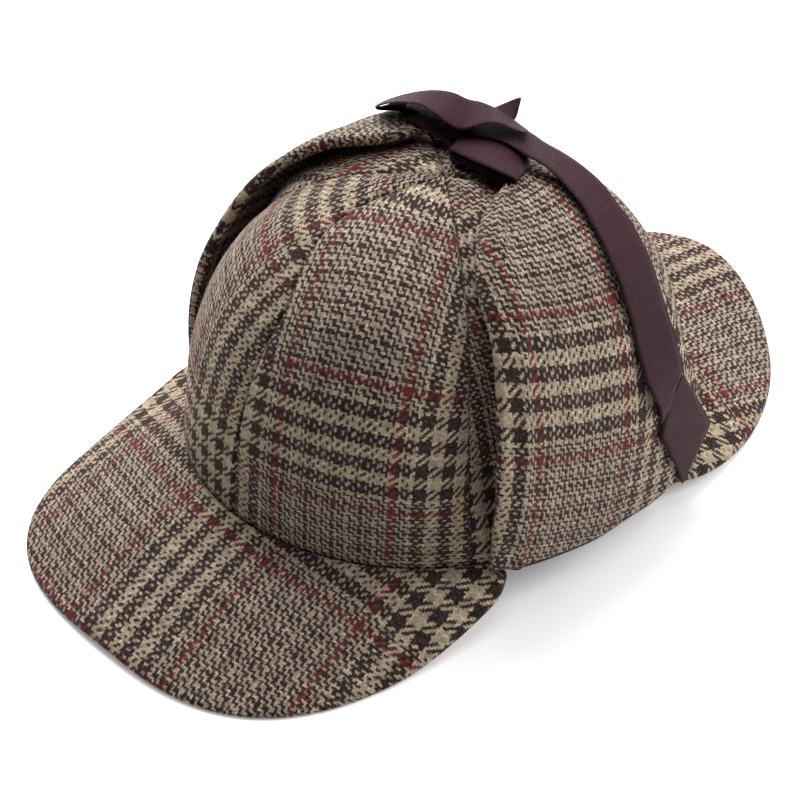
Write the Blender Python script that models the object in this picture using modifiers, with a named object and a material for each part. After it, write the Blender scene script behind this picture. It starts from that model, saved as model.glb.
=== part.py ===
"""A deerstalker hat at rest on its two peaks, with its ear flaps tied up over the crown by a ribbon.

The wearer faces -Y, the wearer's left is +X and the table is z = 0. A place on the crown is given by
its angle, in degrees round the hat from the front towards the wearer's left, and by its rise, from 0
at the lower rim to 1 at the top.
"""

import math

import bmesh
import bpy
from mathutils import Vector

MM = 0.001  # every size below is in millimetres
RIM_CENTRE = Vector((-1.745, 3.9, 0.0))  # measured from the middle of the whole hat

# ---- crown ----
RIM_HALF_WIDTH = 86.5
RIM_HALF_LENGTH = 103.5
RIM_SQUARENESS = 2.15  # exponent of the rim's superellipse: 2 is an ellipse
RIM_HEIGHT = 17.5  # the mean height of the rim above the table
RIM_PITCH = 7.3  # the rim climbs to the front by this much, and falls to the back
RIM_SADDLE = 3.0  # front and back are higher than the sides by this much
RIM_TWIST = 0.8  # and a last small wave, three times round
RIM_DENT = 0.034  # the crown is pushed in by this share at the wearer's right temple
TOP_HEIGHT = 126.0
TOP_SHIFT = 4.0  # the top lies this far behind the rim's centre
FULLNESS = 2.42  # exponent of the crown's profile
FRONT_FULLNESS = 0.4  # the profile is fuller in front and slacker behind
WALL = 2.5
SKIRT = 3.5  # the panels run down behind the peaks by this much
PANELS = 6
PANEL_ANGLE = 360.0 / PANELS
PANEL_NAMES = ("front_left", "side_left", "back_left", "back_right", "side_right", "front_right")
PANEL_COLUMNS = 9
PANEL_ROWS = 13
PANEL_TOP_RISE = 0.996
SEAM_GAP = 0.6
PUFF = 2.2  # a panel swells by this much between its seams
PUFF_SHAPE = 0.8
SEAM_DIP = 1.0
SEAM_FADE = 0.95
SEAM_FADE_SHAPE = 0.7
SEAM_LEAN = 20.0  # degrees by which the front seam wanders off near the top
SEAM_LEAN_RISES = (0.5, 0.9)  # it wanders between these two rises
SHARP_ANGLE = 50.0  # edges bent by more than this are shaded sharp

# ---- peaks ----
PEAK_GAP = 0.3  # between the crown and a peak
PEAK_THICKNESS = 3.5
PEAK_COLUMNS = 36
PEAK_EDGE_STEPS = 120  # along the curve of half an edge
PEAK_END_STEPS = 24  # along the straight end beside the ear flap
PEAK_STEPS = (0.0, 0.18, 0.36, 0.54, 0.72, 0.86, 0.95, 1.0)  # from the rim out to the edge
PEAK_PRESS = 1.4  # the edge is pressed flat by this much where it rests on the table
PEAK_CROWN = 2.0  # how far a peak's top bulges above a straight line from rim to edge
FRONT_PEAK = {
    "middle_angle": 0.0,
    "end_angle": 66.0,
    "reach": 168.8,  # from the rim's centre to the tip
    "half_width": 90.0,
    "widest": 58.0,  # how far from the centre the peak is at its widest
    "end": 45.5,
    "taper": 0.05,
    "squareness": 2.9,
    "tip_lift": 0.8,
    "tip_share": 0.32,  # the share of half the edge that lifts off the table at the tip
    "end_lift": 13.8,
}
BACK_PEAK = {
    "middle_angle": 180.0,
    "end_angle": 68.0,
    "reach": 161.0,
    "half_width": 90.5,
    "widest": 60.0,
    "end": 40.0,
    "taper": 0.04,
    "squareness": 1.86,
    "tip_lift": 9.5,
    "tip_share": 0.42,
    "end_lift": 7.5,
}
END_SHARE = 0.4  # the share that lifts at the end by the ear flap

# ---- ear flaps, folded up against the crown ----
FLAP_THICKNESS = 4.5
FLAP_EDGE_THICKNESS = 2.6
FLAP_COLUMNS = 15
FLAP_ROWS = 17
# How far each flap stands off the crown, as a share of the table below: at the foot of its front
# edge, at the rest of its foot, and at its tip. The far flap hugs the crown in front.
FLAP_STAND_OFF = {"ear_flap_left": (1.0, 1.0, 1.0), "ear_flap_right": (0.6, 0.85, 1.17)}
FLAP_LOOSEN = (0.2, 0.85)  # the rises between which the foot's share turns into the tip's
# One row for each height of a flap, bottom to top: the angles of its front and back edges, and how
# far its outer face stands off the crown at the front edge, in the middle and at the back edge.
FLAP_ROW_NAMES = ("rise", "front", "back", "front_lift", "middle_lift", "back_lift")
FLAP_TABLE = (
    (0.00, 61.0, 117.0, 8.5, 7.0, 12.5),
    (0.06, 60.5, 121.0, 10.0, 8.0, 12.0),
    (0.14, 60.5, 122.0, 11.5, 8.5, 10.0),
    (0.25, 60.5, 120.5, 12.0, 8.5, 8.5),
    (0.37, 61.0, 121.5, 11.5, 8.5, 8.0),
    (0.52, 61.5, 126.0, 11.0, 8.5, 7.5),
    (0.64, 61.0, 130.0, 10.5, 8.5, 7.5),
    (0.72, 63.0, 132.0, 10.0, 8.5, 7.5),
    (0.79, 68.0, 132.0, 9.0, 8.0, 7.0),
    (0.84, 77.0, 129.0, 8.0, 7.5, 6.5),
    (0.87, 92.0, 122.0, 7.5, 7.0, 6.5),
)
FLAP_BOTTOM_LIFT = 0.2  # the flap's fold line lies above the rim by this at its ends
FLAP_BOTTOM_SAG = 2.0  # and this much lower than that in its middle
FLAP_BOTTOM_RISE = 0.2  # above this rise the fold line no longer shapes the flap

# ---- sweatband, inside the crown ----
BAND_THICKNESS = 1.4
BAND_HEIGHT = 27.0
BAND_BELOW = 5.0  # its lower edge, measured down from the rim line
BAND_GAP = 0.6
BAND_COLUMNS = 48
BAND_ROWS = 4

# ---- ribbon ----
RIBBON_THICKNESS = 1.0
STEPS_PER_STATION = 4
# Each stretch of ribbon has a row for each station along it: the middle of the ribbon, then the
# bearing and the pitch, in degrees, of the line across its width, then how wide it is there.
STATION_NAMES = ("x", "y", "z", "bearing", "pitch", "width")
TAIL_LONG = (
    (-4.4, 25.4, 133.4, 100.0, -38.0, 9.0),
    (1.0, 27.4, 134.2, 108.0, -38.0, 12.0),
    (8.0, 30.2, 135.2, 110.0, -38.0, 16.0),
    (16.0, 32.6, 135.6, 107.0, -36.0, 20.0),
    (25.8, 34.0, 133.8, 103.0, -32.0, 22.0),
    (36.6, 35.6, 128.7, 98.0, -30.0, 22.0),
    (47.8, 37.1, 120.0, 95.0, -28.0, 22.0),
    (58.7, 37.6, 109.6, 94.0, -23.0, 22.0),
    (69.4, 36.9, 97.9, 94.0, -17.0, 22.0),
    (79.2, 35.7, 84.3, 95.0, -9.0, 22.0),
    (86.2, 35.7, 68.3, 98.0, -2.0, 22.0),
    (90.5, 38.6, 51.9, 104.0, 2.0, 22.0),
    (91.9, 42.8, 36.7, 108.0, 4.0, 22.0),
    (92.5, 44.8, 24.7, 110.0, 4.0, 20.0),
    (92.6, 44.8, 16.5, 110.0, 2.0, 13.0),
    (92.5, 44.1, 9.4, 110.0, 0.0, 6.0),
)
TAIL_SHORT = (
    (-14.8, 34.0, 131.6, 12.0, 0.0, 9.0),
    (-11.0, 41.0, 130.0, 12.0, 0.0, 12.0),
    (-6.8, 45.6, 132.6, 8.0, 4.0, 9.0),
    (-3.2, 48.0, 137.0, 5.0, 8.0, 2.5),
)
LOOP_RIGHT = (
    (-20.8, 23.4, 137.8, 126.0, -16.0, 15.0),
    (-29.0, 19.4, 139.2, 130.0, -22.0, 19.0),
    (-37.0, 14.0, 137.4, 134.0, -30.0, 21.0),
    (-42.6, 9.8, 134.8, 136.0, -34.0, 21.0),
    (-37.0, 13.2, 135.0, 134.0, -28.0, 20.0),
    (-29.0, 18.0, 136.4, 130.0, -14.0, 16.0),
    (-21.6, 21.6, 135.9, 126.0, -4.0, 11.0),
)
LOOP_LEFT = (
    (-4.6, 18.2, 131.8, 100.0, -4.0, 13.0),
    (4.0, 18.8, 132.8, 102.0, -4.0, 15.0),
    (14.0, 20.6, 134.0, 104.0, -4.0, 16.0),
    (25.4, 22.6, 134.0, 105.0, -4.0, 16.0),
    (14.0, 20.0, 132.2, 104.0, -4.0, 16.0),
    (4.0, 18.2, 131.0, 102.0, -4.0, 15.0),
    (-4.6, 17.2, 129.4, 100.0, -4.0, 13.0),
)
LOOP_BACK = (
    (-9.2, 31.2, 138.6, 122.0, -18.0, 12.0),
    (-4.0, 34.6, 138.4, 124.0, -20.0, 15.0),
    (3.0, 38.4, 137.2, 124.0, -22.0, 15.0),
    (10.5, 42.0, 133.6, 120.0, -24.0, 10.0),
)
TIE_RIGHT = (
    (-33.5, 21.8, 133.2, 85.0, 0.0, 18.0),
    (-27.5, 22.6, 133.1, 85.0, 0.0, 16.0),
    (-22.0, 23.5, 132.4, 85.0, 0.0, 12.0),
)
TIE_LEFT = (
    (-5.6, 21.0, 127.4, 90.0, 0.0, 13.0),
    (6.0, 21.8, 127.6, 90.0, 0.0, 16.0),
    (15.0, 22.4, 126.8, 90.0, 0.0, 18.0),
)
RIBBONS = {
    "ribbon_tail_long": TAIL_LONG,
    "ribbon_tail_short": TAIL_SHORT,
    "ribbon_loop_right": LOOP_RIGHT,
    "ribbon_loop_left": LOOP_LEFT,
    "ribbon_loop_back": LOOP_BACK,
    "ribbon_tie_right": TIE_RIGHT,
    "ribbon_tie_left": TIE_LEFT,
}
KNOT_MIDDLE = (-13.4, 24.5, 133.6)
KNOT_HALF_SIZE = (6.0, 8.6, 5.4)
KNOT_TURN = 18.0
KNOT_CUTS = 3
KNOT_BULGE = 1.2  # the ball that the block is rounded towards
KNOT_ROUNDNESS = 0.6

# ---- colours: base colour, roughness ----
TWEED = ((0.20, 0.15, 0.12), 0.95)
LINING = ((0.02, 0.02, 0.022), 0.8)
GROSGRAIN = ((0.11, 0.07, 0.08), 0.6)


def power(value, exponent):
    """A signed power, so that one formula gives all four quarters of a superellipse."""
    return math.copysign(abs(value) ** exponent, value)


def smooth_step(value):
    value = min(max(value, 0.0), 1.0)
    return value * value * (3.0 - 2.0 * value)


def rim_point(angle):
    turn = math.radians(angle)
    along, across = math.cos(turn), math.sin(turn)
    height = RIM_HEIGHT + RIM_PITCH * along + RIM_SADDLE * math.cos(2 * turn)
    height -= RIM_TWIST * math.cos(3 * turn)
    at_temple = along > 0 > across
    spread = 1 - RIM_DENT * math.sin(2 * turn) ** 2 * at_temple
    return Vector((
        RIM_HALF_WIDTH * spread * power(across, 2 / RIM_SQUARENESS),
        -RIM_HALF_LENGTH * spread * power(along, 2 / RIM_SQUARENESS),
        height,
    ))


def fullness_at(angle, rise):
    return FULLNESS + FRONT_FULLNESS * math.cos(math.radians(angle)) * (1 - rise ** 6)


def dome_point(angle, rise):
    """The crown without its seams."""
    rim = rim_point(angle)
    fullness = fullness_at(angle, min(max(rise, 0.0), 1.0))
    climb = min(max(rise, 0.0), 1.0) * math.pi / 2
    spread = max(math.cos(climb), 0.0) ** (2 / fullness)
    lift = math.sin(climb) ** (2 / fullness)
    return Vector((
        rim.x * spread,
        rim.y * spread + TOP_SHIFT * lift,
        rim.z * (1 - lift) + TOP_HEIGHT * lift,
    ))


def dome_normal(angle, rise):
    rise = min(max(rise, 0.02), 0.985)
    round_step = dome_point(angle + 0.05, rise) - dome_point(angle - 0.05, rise)
    up_step = dome_point(angle, rise + 0.001) - dome_point(angle, rise - 0.001)
    return round_step.cross(up_step).normalized()


def seam_depth(rise):
    """The seams fade out at the rim and at the very top."""
    place = min(max(SEAM_FADE * rise, 0.0), 1.0)
    return max(math.sin(math.pi * place), 0.0) ** SEAM_FADE_SHAPE


def crown_point(angle, rise, across):
    """A place on the crown, swollen between its seams; across is 0 at one seam and 1 at the next."""
    puff = PUFF * max(math.sin(math.pi * across), 0.0) ** PUFF_SHAPE
    swell = seam_depth(rise) * (puff - SEAM_DIP)
    return dome_point(angle, rise) + dome_normal(angle, rise) * swell


def dome_spread(angle, rise):
    """How far the crown's surface lies from the upright line through its top."""
    point = dome_point(angle, rise)
    return math.hypot(point.x, point.y - TOP_SHIFT)


def rise_at(angle, height):
    """The rise at which the crown is this far above its rim."""
    lift = min(max(height / (TOP_HEIGHT - rim_point(angle).z), 0.0), 1.0)
    return math.asin(lift ** (fullness_at(angle, 0.0) / 2)) / (math.pi / 2)


def seam_angle(seam, rise):
    """The front seam leans off near the top, and the others run straight up."""
    angle = PANEL_ANGLE * seam
    if seam % PANELS == 0:
        start, end = SEAM_LEAN_RISES
        angle -= SEAM_LEAN * smooth_step((rise - start) / (end - start))
    return angle


def between(first, last, share):
    return first + (last - first) * share


def blend_rows(rows, place):
    """Every column of a table at a place between 0 and 1 along its rows, on a smooth curve."""
    span = place * (len(rows) - 1)
    index = min(int(span), len(rows) - 2)
    share = span - index
    before = rows[max(index - 1, 0)]
    after = rows[min(index + 2, len(rows) - 1)]
    values = []
    for a, b, c, d in zip(before, rows[index], rows[index + 1], after):
        slope_in, slope_out = (c - a) / 2, (d - b) / 2
        if index == 0:
            slope_in = c - b
        if index == len(rows) - 2:
            slope_out = c - b
        square, cube = share * share, share * share * share
        values.append(
            b * (2 * cube - 3 * square + 1)
            + slope_in * (cube - 2 * square + share)
            + c * (3 * square - 2 * cube)
            + slope_out * (cube - square)
        )
    return values


def in_metres(point):
    """A place measured from the rim's centre, as a place in the hat's own frame."""
    return (point + RIM_CENTRE) * MM


def material(name, finish):
    colour, roughness = finish
    made = bpy.data.materials.new(name)
    made.use_nodes = True
    shader = made.node_tree.nodes["Principled BSDF"]
    shader.inputs["Base Color"].default_value = (*colour, 1.0)
    shader.inputs["Roughness"].default_value = roughness
    shader.inputs["Metallic"].default_value = 0.0
    made.diffuse_color = (*colour, 1.0)
    return made


def add_object(name, mesh, finish):
    obj = bpy.data.objects.new(name, mesh)
    mesh.materials.append(material(name, finish))
    mesh.shade_smooth()
    mesh.set_sharp_from_angle(angle=math.radians(SHARP_ANGLE))
    HAT.objects.link(obj)
    return obj


def surface_mesh(name, grid, closed_round=False):
    """An open surface through a grid of points in millimetres."""
    bm = bmesh.new()
    rows = [[bm.verts.new(in_metres(point)) for point in row] for row in grid]
    for low, high in zip(rows, rows[1:]):
        count = len(low)
        for j in range(count if closed_round else count - 1):
            k = (j + 1) % count
            bm.faces.new((low[j], low[k], high[k], high[j]))
    mesh = bpy.data.meshes.new(name)
    bm.to_mesh(mesh)
    bm.free()
    return mesh


def add_solidify(obj, thickness, offset):
    shell = obj.modifiers.new("Wall", "SOLIDIFY")
    shell.thickness = thickness * MM
    shell.offset = offset


def lofted_solid(name, top, bottom, finish):
    """A closed body between two grids of points that face each other."""
    bm = bmesh.new()
    upper = [[bm.verts.new(in_metres(point)) for point in row] for row in top]
    lower = [[bm.verts.new(in_metres(point)) for point in row] for row in bottom]
    rows, columns = len(upper), len(upper[0])
    for i in range(rows - 1):
        for j in range(columns - 1):
            bm.faces.new((upper[i][j], upper[i][j + 1], upper[i + 1][j + 1], upper[i + 1][j]))
            bm.faces.new((lower[i][j], lower[i + 1][j], lower[i + 1][j + 1], lower[i][j + 1]))
    for i in range(rows - 1):
        for j in (0, columns - 1):
            bm.faces.new((upper[i][j], upper[i + 1][j], lower[i + 1][j], lower[i][j]))
    for j in range(columns - 1):
        for i in (0, rows - 1):
            bm.faces.new((upper[i][j], upper[i][j + 1], lower[i][j + 1], lower[i][j]))
    bmesh.ops.recalc_face_normals(bm, faces=bm.faces)
    mesh = bpy.data.meshes.new(name)
    bm.to_mesh(mesh)
    bm.free()
    return add_object(name, mesh, finish)


def add_panel(seam):
    """One of the crown's six panels, from its seam to the next, with half the gap off each side."""
    grid = []
    for i in range(PANEL_ROWS):
        rise = PANEL_TOP_RISE * i / (PANEL_ROWS - 1)
        start, end = seam_angle(seam, rise), seam_angle(seam + 1, rise)
        if end < start:
            end += 360.0
        inset = math.degrees(SEAM_GAP / 2 / dome_spread(start, rise))
        row = []
        for j in range(PANEL_COLUMNS):
            across = j / (PANEL_COLUMNS - 1)
            row.append(crown_point(between(start + inset, end - inset, across), rise, across))
        if i == 0:
            grid.append([point - Vector((0, 0, SKIRT)) for point in row])
        grid.append(row)
    name = "crown_panel_" + PANEL_NAMES[seam]
    obj = add_object(name, surface_mesh(name, grid), TWEED)
    add_solidify(obj, WALL, -1.0)


def peak_edge(shape):
    """Half of a peak's outer edge in plan, from its tip to its end beside the ear flap."""
    reach = shape["reach"] - shape["widest"]
    bend = 2 / shape["squareness"]
    points = []
    for i in range(PEAK_EDGE_STEPS + 1):
        turn = math.pi / 2 * (1 - i / PEAK_EDGE_STEPS)
        side = shape["half_width"] * max(math.cos(turn), 0.0) ** bend
        points.append(Vector((side, shape["widest"] + reach * math.sin(turn) ** bend)))
    back = shape["widest"] - shape["end"]
    for i in range(1, PEAK_END_STEPS + 1):
        share = i / PEAK_END_STEPS
        side = shape["half_width"] * (1 - shape["taper"] * share * share)
        points.append(Vector((side, shape["widest"] - back * share)))
    return points


def along_edge(points, share):
    """The place at a share of the length of a line of points."""
    lengths = [(b - a).length for a, b in zip(points, points[1:])]
    left = share * sum(lengths)
    for start, end, length in zip(points, points[1:], lengths):
        if left <= length:
            return start.lerp(end, left / length)
        left -= length
    return points[-1]


def edge_lift(shape, share):
    """How high a peak's edge lies off the table, at a share of the way from its tip to its end."""
    tip = 1 - smooth_step(share / shape["tip_share"])
    end = max((share - 1 + END_SHARE) / END_SHARE, 0.0)
    resting = (1 - tip) * (1 - end)
    return shape["tip_lift"] * tip + shape["end_lift"] * end ** 2 - PEAK_PRESS * resting


def add_peak(name, shape):
    """A stiffened peak, from the crown's rim down to its edge, flat where it rests on the table."""
    edge = peak_edge(shape)
    facing = -math.cos(math.radians(shape["middle_angle"]))
    tops, bottoms = [], []
    for i in range(PEAK_COLUMNS + 1):
        side = 2 * i / PEAK_COLUMNS - 1
        share = abs(side)
        angle = shape["middle_angle"] - facing * side * shape["end_angle"]
        rim = rim_point(angle)
        outward = dome_normal(angle, 0.0).xy.normalized()
        inner = rim + Vector((outward.x, outward.y, 0)) * PEAK_GAP
        plan = along_edge(edge, share)
        lift = edge_lift(shape, share)
        outer = Vector((math.copysign(plan.x, side), facing * plan.y, lift + PEAK_THICKNESS))
        bulge = PEAK_CROWN * (1 - share * share)
        top_row, bottom_row = [], []
        for out in PEAK_STEPS:
            point = inner.lerp(outer, out) + Vector((0, 0, bulge * math.sin(math.pi * out)))
            top_row.append(point)
            bottom_row.append(Vector((point.x, point.y, max(point.z - PEAK_THICKNESS, 0.0))))
        tops.append(top_row)
        bottoms.append(bottom_row)
    lofted_solid(name, tops, bottoms, TWEED)


def flap_point(row, across, lift, stand_off):
    values = dict(zip(FLAP_ROW_NAMES, row))
    angle = between(values["front"], values["back"], across)
    middle_share = 1 - abs(2 * across - 1) ** 2
    front_foot, foot, tip = stand_off
    start, end = FLAP_LOOSEN
    loosened = smooth_step((values["rise"] - start) / (end - start))
    rest = between(foot, tip, loosened)
    if across < 0.5:
        side_lift = values["front_lift"] * between(front_foot, tip, loosened)
    else:
        side_lift = values["back_lift"] * rest
    height = between(side_lift, values["middle_lift"] * rest, middle_share) + lift
    point = dome_point(angle, values["rise"]) + dome_normal(angle, values["rise"]) * height
    fold = FLAP_BOTTOM_LIFT - FLAP_BOTTOM_SAG * math.sin(math.pi * across)
    point.z += fold * (1 - smooth_step(values["rise"] / FLAP_BOTTOM_RISE))
    return point


def add_flap(name, side):
    """An ear flap: a thick soft sheet that stands off the crown, with rounded edges."""
    outer, inner = [], []
    for i in range(FLAP_ROWS):
        up = i / (FLAP_ROWS - 1)
        row = blend_rows(FLAP_TABLE, up)
        outer_row, inner_row = [], []
        for j in range(FLAP_COLUMNS):
            across = j / (FLAP_COLUMNS - 1)
            at_edge = i in (0, FLAP_ROWS - 1) or j in (0, FLAP_COLUMNS - 1)
            thin = (FLAP_THICKNESS - FLAP_EDGE_THICKNESS) / 2 if at_edge else 0.0
            outside = flap_point(row, across, -thin, FLAP_STAND_OFF[name])
            inside = flap_point(row, across, thin - FLAP_THICKNESS, FLAP_STAND_OFF[name])
            outer_row.append(Vector((side * outside.x, outside.y, outside.z)))
            inner_row.append(Vector((side * inside.x, inside.y, inside.z)))
        outer.append(outer_row)
        inner.append(inner_row)
    lofted_solid(name, outer, inner, TWEED)


def add_sweatband():
    """A black band inside the lower crown; its lower edge shows below the ear flaps."""
    grid = []
    for i in range(BAND_ROWS):
        climb = i / (BAND_ROWS - 1)
        row = []
        for j in range(BAND_COLUMNS):
            angle = 360.0 * j / BAND_COLUMNS
            rim = rim_point(angle)
            height = BAND_HEIGHT * climb - BAND_BELOW
            rise = rise_at(angle, height)
            depth = WALL + SEAM_DIP * seam_depth(rise) + BAND_GAP
            wall = dome_point(angle, rise) - dome_normal(angle, rise) * depth
            row.append(Vector((wall.x, wall.y, rim.z + height)))
        grid.append(row)
    obj = add_object("sweatband", surface_mesh("sweatband", grid, closed_round=True), LINING)
    add_solidify(obj, BAND_THICKNESS, -1.0)


def add_ribbon(name, stations):
    """A stretch of ribbon through its stations, as wide as each says."""
    count = (len(stations) - 1) * STEPS_PER_STATION
    grid = []
    for i in range(count + 1):
        place = dict(zip(STATION_NAMES, blend_rows(stations, i / count)))
        bearing, pitch = math.radians(place["bearing"]), math.radians(place["pitch"])
        across = Vector((
            math.cos(bearing) * math.cos(pitch),
            math.sin(bearing) * math.cos(pitch),
            math.sin(pitch),
        ))
        middle = Vector((place["x"], place["y"], place["z"]))
        half = place["width"] / 2
        grid.append([middle - across * half, middle, middle + across * half])
    obj = add_object(name, surface_mesh(name, grid), GROSGRAIN)
    add_solidify(obj, RIBBON_THICKNESS, 0.0)


def add_knot():
    """The knot: a squashed, rounded block in which the ribbons meet."""
    mesh = bpy.data.meshes.new("ribbon_knot")
    bm = bmesh.new()
    bmesh.ops.create_cube(bm, size=2.0)
    bmesh.ops.subdivide_edges(bm, edges=bm.edges, cuts=KNOT_CUTS, use_grid_fill=True)
    turn = math.radians(KNOT_TURN)
    for vert in bm.verts:
        rounded = vert.co.lerp(vert.co.normalized() * KNOT_BULGE, KNOT_ROUNDNESS)
        local = Vector([value * half for value, half in zip(rounded, KNOT_HALF_SIZE)])
        turned = Vector((
            local.x * math.cos(turn) - local.y * math.sin(turn),
            local.x * math.sin(turn) + local.y * math.cos(turn),
            local.z,
        ))
        vert.co = in_metres(Vector(KNOT_MIDDLE) + turned)
    bm.to_mesh(mesh)
    bm.free()
    add_object("ribbon_knot", mesh, GROSGRAIN)


def build():
    for seam in range(PANELS):
        add_panel(seam)
    add_peak("front_peak", FRONT_PEAK)
    add_peak("back_peak", BACK_PEAK)
    add_flap("ear_flap_left", 1)
    add_flap("ear_flap_right", -1)
    add_sweatband()
    for name, stations in RIBBONS.items():
        add_ribbon(name, stations)
    add_knot()


for leftover in list(bpy.data.objects):
    bpy.data.objects.remove(leftover)
HAT = bpy.data.collections.new("deerstalker_hat")
bpy.context.scene.collection.children.link(HAT)
build()
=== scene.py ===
"""A deerstalker hat in glen check tweed, tied up over its crown with a grosgrain ribbon.

The wearer faces -Y and the wearer's left is +X. Every form is worked out in millimetres from the
middle of the crown's rim. An angle is in degrees round the crown, from the front by the wearer's
left, and a rise is a share of the way up it, from 0 at the rim to 1 at the top. A cloth's weave is
laid by its threads: a place on the cloth is the number of its warp thread and the number of its
weft thread.
"""

import math

import bpy
import numpy as np
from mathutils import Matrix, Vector


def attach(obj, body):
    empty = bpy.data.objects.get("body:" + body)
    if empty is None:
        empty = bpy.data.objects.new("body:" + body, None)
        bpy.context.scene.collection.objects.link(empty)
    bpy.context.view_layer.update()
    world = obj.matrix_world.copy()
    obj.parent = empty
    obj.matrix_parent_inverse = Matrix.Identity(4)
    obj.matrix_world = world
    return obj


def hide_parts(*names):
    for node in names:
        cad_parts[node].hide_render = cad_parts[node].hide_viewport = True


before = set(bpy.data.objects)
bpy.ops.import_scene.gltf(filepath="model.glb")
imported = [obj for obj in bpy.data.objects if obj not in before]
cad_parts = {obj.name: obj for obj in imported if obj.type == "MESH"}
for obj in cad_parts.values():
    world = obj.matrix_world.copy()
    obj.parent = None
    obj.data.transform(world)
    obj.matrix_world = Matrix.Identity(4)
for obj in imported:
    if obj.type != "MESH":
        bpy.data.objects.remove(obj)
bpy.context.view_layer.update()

MM = 0.001
RIM_CENTRE = np.array((-1.745, 3.9, 0.0))

# ---- crown ----
RIM_HALF_WIDTH = 86.5
RIM_HALF_LENGTH = 103.5
RIM_SQUARENESS = 2.15
RIM_HEIGHT = 17.5
RIM_PITCH = 7.3  # the rim rises towards the front and falls towards the back
RIM_SADDLE = 3.0  # it rises towards both, and falls towards the sides
RIM_TWIST = 0.8  # and three slight waves run round it
RIM_DENT = 0.034  # the share by which it is drawn in at the right temple
TOP_HEIGHT = 126.0
TOP_SHIFT = 4.0  # how far behind the rim's middle the top lies
FULLNESS = 2.42  # 2 for a round dome, and more for a fuller one
FRONT_FULLNESS = 0.4  # more in front, and less behind
FRONT_FULLNESS_FADE = 6
NORMAL_RISES = (0.02, 0.985)  # a normal is taken no nearer to the rim or the top
NORMAL_STEPS = (0.05, 0.001)  # the steps of angle and rise that it is taken over
WALL = 2.5
SKIRT = 3.5  # how far the panels hang straight down below the rim
PANELS = 6
PANEL_ANGLE = 360.0 / PANELS
PANEL_NAMES = ("front_left", "side_left", "back_left", "back_right", "side_right", "front_right")
PANEL_TOP_RISE = 0.9995
PANEL_EDGE = 1.7  # the radius to which a panel's edges are turned in along its seams
PANEL_LEAST_EDGE = 0.01  # where a panel comes to a point
PANEL_ROWS = 72
PANEL_COLUMNS = 46
PANEL_FINE = 500  # at how many places a panel's length is measured
SWEEP_FINE = 60  # and a row's width
PUFF = 2.2  # how far a panel's middle stands out between its seams
PUFF_SHAPE = 0.8
SEAM_DIP = 1.0
SEAM_FADE = 0.95  # the seams grow shallow towards the rim and the top
SEAM_FADE_SHAPE = 0.7
SEAM_LEAN = 20.0  # how far the seam in front leans over, between the rises below
SEAM_LEAN_RISES = (0.5, 0.9)
SEAM_GAP = 0.1
SWELL_START = 8.0  # the swells of panels and flaps grow over this width from their sides
TUCK_DEPTH = 7.5  # the crown is drawn in where each ear flap's front edge stands off it
TUCK_WIDTHS = (14.0, 9.0)  # in front of the deepest line, and behind it
TUCK_ANGLE = 67.0
TUCK_RISES = (0.14, 0.25, 0.62)  # whole from the first to the second, and gone at the third

# ---- peaks ----
PEAK_GAP = 0.3  # between a peak and the crown's rim
PEAK_THICKNESS = 3.5
PEAK_EDGE = 1.9
PEAK_PRESS = 1.4  # how far it is pressed flat where it rests
PEAK_CROWN = 2.0  # how far it bows up between the rim and its edge
PEAK_ROWS = 40
PEAK_COLUMNS = 150
PEAK_FINE = 400
PEAK_SWELL_START = 10.0  # its swells grow over this width from its edges
PEAK_SWELL_HEIGHT = 12.0  # and over this height from the table
FRONT_PEAK = {
    "middle_angle": 0.0,
    "end_angle": 66.0,
    "reach": 168.8,
    "half_width": 90.0,
    "widest": 58.0,
    "end": 45.5,
    "taper": 0.05,
    "squareness": 2.9,
    "tip_lift": 0.8,
    "tip_share": 0.32,
    "end_lift": 13.8,
}
BACK_PEAK = {
    "middle_angle": 180.0,
    "end_angle": 68.0,
    "reach": 161.0,
    "half_width": 90.5,
    "widest": 60.0,
    "end": 40.0,
    "taper": 0.04,
    "squareness": 1.86,
    "tip_lift": 9.5,
    "tip_share": 0.42,
    "end_lift": 7.5,
}
END_SHARE = 0.4  # the share of half a peak's edge over which its end lifts

# ---- ear flaps ----
FLAP_THICKNESS = 4.5
FLAP_EDGE = 2.6
FLAP_ROWS = 76
FLAP_COLUMNS = 62
FLAP_FINE = 240
FLAP_EXTRA = 8.0  # how much wider a row is than the crown under it, since it stands off
FLAP_STAND_OFF = {  # shares of the table's lifts: in front at the foot, elsewhere, and at the tip
    "ear_flap_left": (1.0, 1.0, 1.0),
    "ear_flap_right": (0.6, 0.85, 1.17),
}
FLAP_LOOSEN = (0.2, 0.85)  # the rises between which the foot's shares give way to the tip's
FLAP_ROW_NAMES = ("rise", "front", "back", "front_lift", "middle_lift", "back_lift")
FLAP_TABLE = (
    (0.00, 61.0, 117.0, 8.5, 7.0, 12.5),
    (0.06, 60.5, 121.0, 10.0, 8.0, 12.0),
    (0.14, 60.5, 122.0, 11.5, 8.5, 10.0),
    (0.25, 60.5, 120.5, 12.0, 8.5, 8.5),
    (0.37, 61.0, 121.5, 11.5, 8.5, 8.0),
    (0.52, 61.5, 126.0, 11.0, 8.5, 7.5),
    (0.64, 61.0, 130.0, 10.5, 8.5, 7.5),
    (0.72, 63.0, 132.0, 10.0, 8.5, 7.5),
    (0.79, 68.0, 132.0, 9.0, 8.0, 7.0),
    (0.84, 77.0, 129.0, 8.0, 7.5, 6.5),
    (0.87, 92.0, 122.0, 7.5, 7.0, 6.5),
)
FLAP_BOTTOM_LIFT = 0.2  # how far a flap's fold is lifted
FLAP_BOTTOM_SAG = 2.0  # and how far it sags between its ends
FLAP_BOTTOM_RISE = 0.2  # the rise at which the sag is gone
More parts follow.
